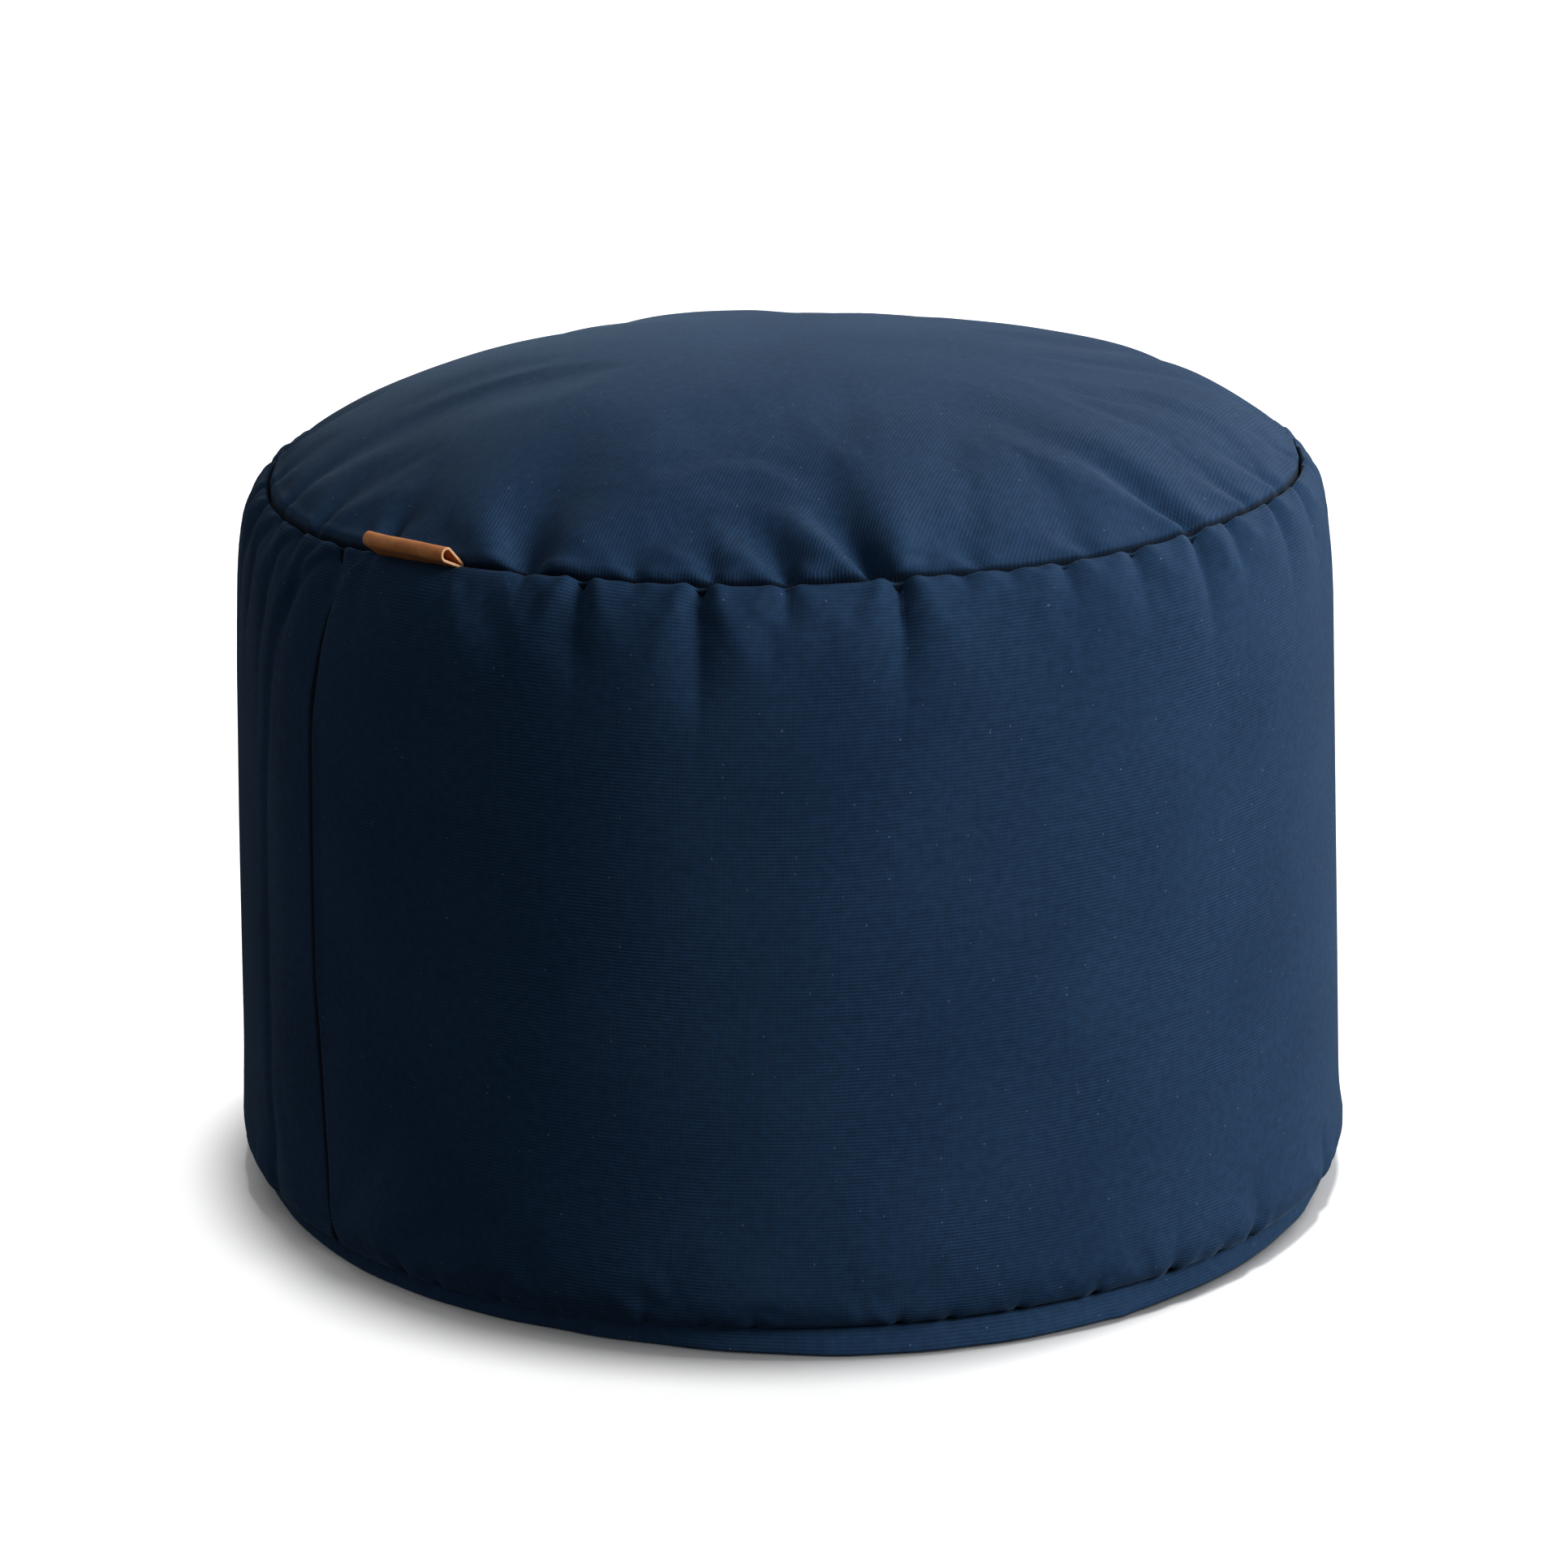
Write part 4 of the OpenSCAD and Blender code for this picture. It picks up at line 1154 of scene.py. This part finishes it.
def woven(name, colour, pale, rib, angle=0.0, sheen=0.0, tint=(1, 1, 1, 1), lint_and_seam_shade=None, rough=0.85):
    """A ribbed weave: round ribs bound by finer warp threads, with a soft nap, and painted shade between its
    ribs. Given a lint colour, it has pale lint specks and painted shade along the seams.
    """
    m = Nodes(name)
    place = m.cloth_place(angle)
    drift = m.noise(place, 45.0, 2.0).outputs["Color"]
    sway = (0.9 * MM, 0.9 * MM, 0)
    place = m.add("VectorMath", operation="MULTIPLY_ADD", in_0=drift, in_1=sway, in_2=place).outputs[0]
    split = m.add("SeparateXYZ", in_Vector=place)
    ribs = m.maths("SINE", m.maths("MULTIPLY", split.outputs[1], 2 * math.pi / rib))
    warp = m.maths("SINE", m.maths("MULTIPLY", split.outputs[0], 2 * math.pi / (rib * 0.6)))
    fuzz = m.noise(place, 2400.0).outputs["Fac"]
    slub = m.noise(place, 260.0, 4.0).outputs["Fac"]
    worn = m.spread(m.noise(place, 22.0, 3.0).outputs["Fac"], 0.35, 0.65, 0.12, 0.34)
    height = m.maths("MULTIPLY_ADD", warp, 0.12, m.maths("MULTIPLY_ADD", ribs, worn, 0.5))
    height = m.maths("MULTIPLY_ADD", m.maths("SUBTRACT", fuzz, 0.5), 0.7, height)
    cloudy = m.spread(m.noise(place, 14.0, 5.0).outputs["Fac"], 0.35, 0.65)
    tone = m.mix(cloudy, colour, pale)
    # Painted shade in the rib valleys and painted highlight on the rib crests, times the slub's own random
    # tone.
    rib_shade_and_slub = m.maths("MULTIPLY", m.spread(height, 0.1, 0.95, 0.72, 1.22), m.spread(slub, 0.3, 0.7, 0.86, 1.14))
    tone = m.add("VectorMath", operation="SCALE", in_0=tone, in_Scale=rib_shade_and_slub).outputs[0]
    if lint_and_seam_shade:
        dots = m.add("TexVoronoi", in_Vector=place, in_Scale=230.0)
        size = m.maths("LESS_THAN", dots.outputs["Distance"], 0.085)
        rare = m.maths("GREATER_THAN", m.add("SeparateXYZ", in_Vector=dots.outputs["Color"]).outputs[0], 0.76)
        tone = m.mix(m.maths("MULTIPLY", m.maths("MULTIPLY", size, rare), 0.5), tone, lint_and_seam_shade)
        # Painted shade: the cloth turns near-black along the seams, where the groove attribute is 1.
        groove = m.add("Attribute", attribute_name="groove").outputs["Fac"]
        tone = m.mix(m.maths("MULTIPLY", groove, 0.9), tone, (0.0012, 0.0025, 0.0055, 1))
    m.set(Base_Color=tone, Roughness=m.spread(fuzz, 0.2, 0.8, rough - 0.07, rough + 0.07))
    m.set(Specular_IOR_Level=0.06, Sheen_Weight=sheen, Sheen_Roughness=0.3, Sheen_Tint=tint)
    m.bump(height, 0.0003, 0.5)
    return m.material


def leather():
    m = Nodes("tan leather")
    place = m.cloth_place()
    pores = m.add("TexVoronoi", feature="DISTANCE_TO_EDGE", in_Vector=place, in_Scale=1400.0)
    grain = m.spread(pores.outputs["Distance"], 0.0, 0.22)
    cloudy = m.noise(place, 130.0, 5.0).outputs["Fac"]
    tone = m.mix(m.spread(cloudy, 0.35, 0.68), (0.46, 0.15, 0.038, 1), (0.64, 0.25, 0.075, 1))
    tone = m.mix(m.maths("MULTIPLY", m.maths("SUBTRACT", 1.0, grain), 0.22), tone, (0.13, 0.045, 0.018, 1))
    m.set(Base_Color=tone, Roughness=m.spread(cloudy, 0.2, 0.8, 0.38, 0.52), Specular_IOR_Level=0.35)
    m.bump(grain, 0.0001, 0.3)
    return m.material


def cut_leather():
    m = Nodes("cut edge of tan leather")
    place = m.object_place()
    fibres = m.noise(place, 2600.0, 4.0).outputs["Fac"]
    layers = m.noise(place, 700.0, 3.0).outputs["Fac"]
    tone = m.mix(m.spread(fibres, 0.3, 0.7), (0.46, 0.23, 0.115, 1), (0.72, 0.43, 0.25, 1))
    m.set(Base_Color=tone, Roughness=m.spread(layers, 0.2, 0.8, 0.75, 0.95), Specular_IOR_Level=0.2)
    m.bump(fibres, 0.00015, 0.5)
    return m.material


def metal():
    """Dark nickel plate, with fine brushing and rubbed patches."""
    m = Nodes("dark nickel")
    place = m.object_place()
    stretched = m.add("VectorMath", operation="MULTIPLY", in_0=place, in_1=(150.0, 2400.0, 2400.0)).outputs[0]
    brushed = m.noise(stretched, 1.0, 3.0).outputs["Fac"]
    patches = m.noise(place, 420.0, 4.0).outputs["Fac"]
    tone = m.mix(m.spread(patches, 0.4, 0.7), (0.20, 0.205, 0.22, 1), (0.36, 0.36, 0.37, 1))
    rough = m.maths("ADD", m.spread(brushed, 0.2, 0.8, 0.22, 0.38), m.spread(patches, 0.4, 0.7, 0.0, 0.08))
    m.set(Base_Color=tone, Metallic=1.0, Roughness=rough)
    m.bump(brushed, 0.00003, 0.4)
    return m.material


def nylon():
    """The zip's drawn filament, with faint draw lines."""
    m = Nodes("navy nylon")
    place = m.object_place()
    lines = m.noise(place, 3000.0, 2.0).outputs["Fac"]
    cloudy = m.spread(m.noise(place, 200.0).outputs["Fac"], 0.35, 0.65)
    tone = m.mix(cloudy, (0.006, 0.012, 0.026, 1), (0.012, 0.022, 0.044, 1))
    m.set(Base_Color=tone, Roughness=m.spread(lines, 0.2, 0.8, 0.28, 0.42), Specular_IOR_Level=0.5)
    m.bump(lines, 0.00003, 0.3)
    return m.material


def foam_beads():
    """Expanded foam beads, about 4 mm across, packed against each other."""
    m = Nodes("white foam beads")
    place = m.object_place()
    near = m.add("TexVoronoi", in_Vector=place, in_Scale=240.0)
    ball = m.maths("SUBTRACT", 1.0, m.maths("POWER", m.spread(near.outputs["Distance"], 0.0, 0.75), 2.0))
    skin = m.noise(place, 3500.0, 2.0).outputs["Fac"]
    # Painted shade where the beads meet, white in the middle of each bead.
    tone = m.mix(m.spread(ball, 0.0, 0.6), (0.55, 0.55, 0.54, 1), (0.88, 0.88, 0.87, 1))
    m.set(Base_Color=tone, Roughness=m.spread(skin, 0.2, 0.8, 0.5, 0.7), Specular_IOR_Level=0.4)
    m.bump(ball, 0.002, 0.8)
    return m.material


def paint(material, *pieces):
    """Gives pieces their one material."""
    for piece in pieces:
        piece.data.materials.clear()
        piece.data.materials.append(material)


# ---- Stage ----
def reach(made, on_floor):
    """Lets a lamp light only the floor, or everything but the floor."""
    bpy.context.scene.collection.objects.link(made)
    group = bpy.data.collections.new(made.name + " reach")
    group.objects.link(bpy.data.objects["floor"])
    made.light_linking.receiver_collection = group
    group.collection_objects[0].light_linking.link_state = "INCLUDE" if on_floor else "EXCLUDE"


def soft_lamp(name, place, size, power):
    data = bpy.data.lights.new(name, "AREA")
    data.shape, data.size, data.energy = "DISK", size, power
    made = bpy.data.objects.new(name, data)
    made.location = place
    made.rotation_euler = (Vector((0, 0, 0.18)) - Vector(place)).to_track_quat("-Z", "Y").to_euler()
    reach(made, False)


def floor_lamp(name, energy, angle, back, right):
    """Light for the floor alone, with its spread and its tilt to the back and the right in degrees."""
    data = bpy.data.lights.new(name, "SUN")
    data.energy, data.angle = energy, rad(angle)
    made = bpy.data.objects.new(name, data)
    made.location = (0.6, 0.5, 3)
    made.rotation_euler = (rad(-back), rad(right), 0)
    reach(made, True)


def make_stage():
    bpy.ops.mesh.primitive_plane_add(size=16)
    floor = bpy.context.object
    floor.name = "floor"
    m = Nodes("pale floor")
    soft = m.noise(m.object_place(), 3.0).outputs["Fac"]
    tone = m.mix(soft, (0.90, 0.90, 0.90, 1), (0.92, 0.92, 0.92, 1))
    m.set(Base_Color=tone, Roughness=0.9, Specular_IOR_Level=0.0)
    floor.data.materials.append(m.material)
    floor.visible_diffuse = False
    floor.visible_glossy = False
    world = bpy.data.worlds.new("studio")
    bpy.context.scene.world = world
    world.use_nodes = True
    nodes, links = world.node_tree.nodes, world.node_tree.links
    up = nodes.new("ShaderNodeSeparateXYZ")
    links.new(nodes.new("ShaderNodeTexCoord").outputs["Generated"], up.inputs[0])
    fade = nodes.new("ShaderNodeMapRange")
    links.new(up.outputs[2], fade.inputs[0])
    for index, value in ((1, -0.15), (2, 0.12), (3, WORLD_LOW), (4, WORLD_HIGH)):
        fade.inputs[index].default_value = value
    links.new(fade.outputs[0], nodes["Background"].inputs[1])
    nodes["Background"].inputs[0].default_value = (1, 1, 1, 1)
    for settings in LAMPS:
        soft_lamp(*settings)
    for settings in FLOOR_LAMPS:
        floor_lamp(*settings)
    bpy.context.scene.view_settings.view_transform = "Standard"


WORLD_LOW, WORLD_HIGH = 0.06, 0.29
LAMPS = [
    ("key", (1.88, -0.95, 1.40), 1.2, 67),
    ("right edge", (2.2, 1.1, 1.0), 1.2, 36),
    ("rim", (1.35, 2.2, 1.7), 1.3, 32),
    ("left edge", (-2.2, 1.2, 0.7), 1.0, 1.5),
]
FLOOR_LAMPS = [
    ("floor light", 2.5, 8, 4, 3),
    ("wide floor light", 0.55, 60, 12, 1),
    ("low floor light", 1.7, 20, 35, 40),
]

# ---- Putting it together ----
make_camera()
SIMULATED = None
SIMULATED = simulate()

NAVY, NAVY_PALE, SHEEN = (0.0108, 0.0305, 0.0700, 1), (0.0140, 0.0368, 0.0815, 1), (0.50, 0.74, 1.0, 1)
LINT = (0.12, 0.16, 0.22, 1)
RIB, GRAIN_TOP = 1.35 * MM, rad(107)
side_cloth = woven("navy ribbed cloth", NAVY, NAVY_PALE, RIB, 0.0, 0.11, SHEEN, lint_and_seam_shade=LINT)
top_cloth = woven("navy ribbed cloth, turned", NAVY, NAVY_PALE, RIB, GRAIN_TOP, 0.11, SHEEN, lint_and_seam_shade=LINT)
TAPE, TAPE_PALE = (0.006, 0.013, 0.030, 1), (0.009, 0.018, 0.038, 1)
LINER, LINER_PALE = (0.72, 0.72, 0.70, 1), (0.82, 0.82, 0.80, 1)
tape_cloth = woven("zip tape", TAPE, TAPE_PALE, 0.55 * MM, rad(90), 0.1, SHEEN)
liner_cloth = woven("liner cloth", LINER, LINER_PALE, 0.5 * MM, 0.0, 0.1, rough=0.8)
filament, nickel = nylon(), metal()

paint(side_cloth, make_side_panel(), make_welt(), make_base_half(True), make_base_half(False))
paint(top_cloth, make_top_panel())
make_tab(leather(), cut_leather())
for name in ("cover_zip", "liner_zip"):
    for side in ("front", "rear"):
        paint(tape_cloth, make_tape(name, side))
        paint(filament, make_coil(name, side))
    paint(nickel, *make_stops(name), make_slider(name + "_slider", name == "cover_zip"))
paint(nickel, make_pull("cover_zip_pull"))
paint(side_cloth, make_stitches(8.4 * MM, 6.6 * MM, 376 * MM))
paint(liner_cloth, *make_liner())
paint(foam_beads(), make_beads())
make_stage()
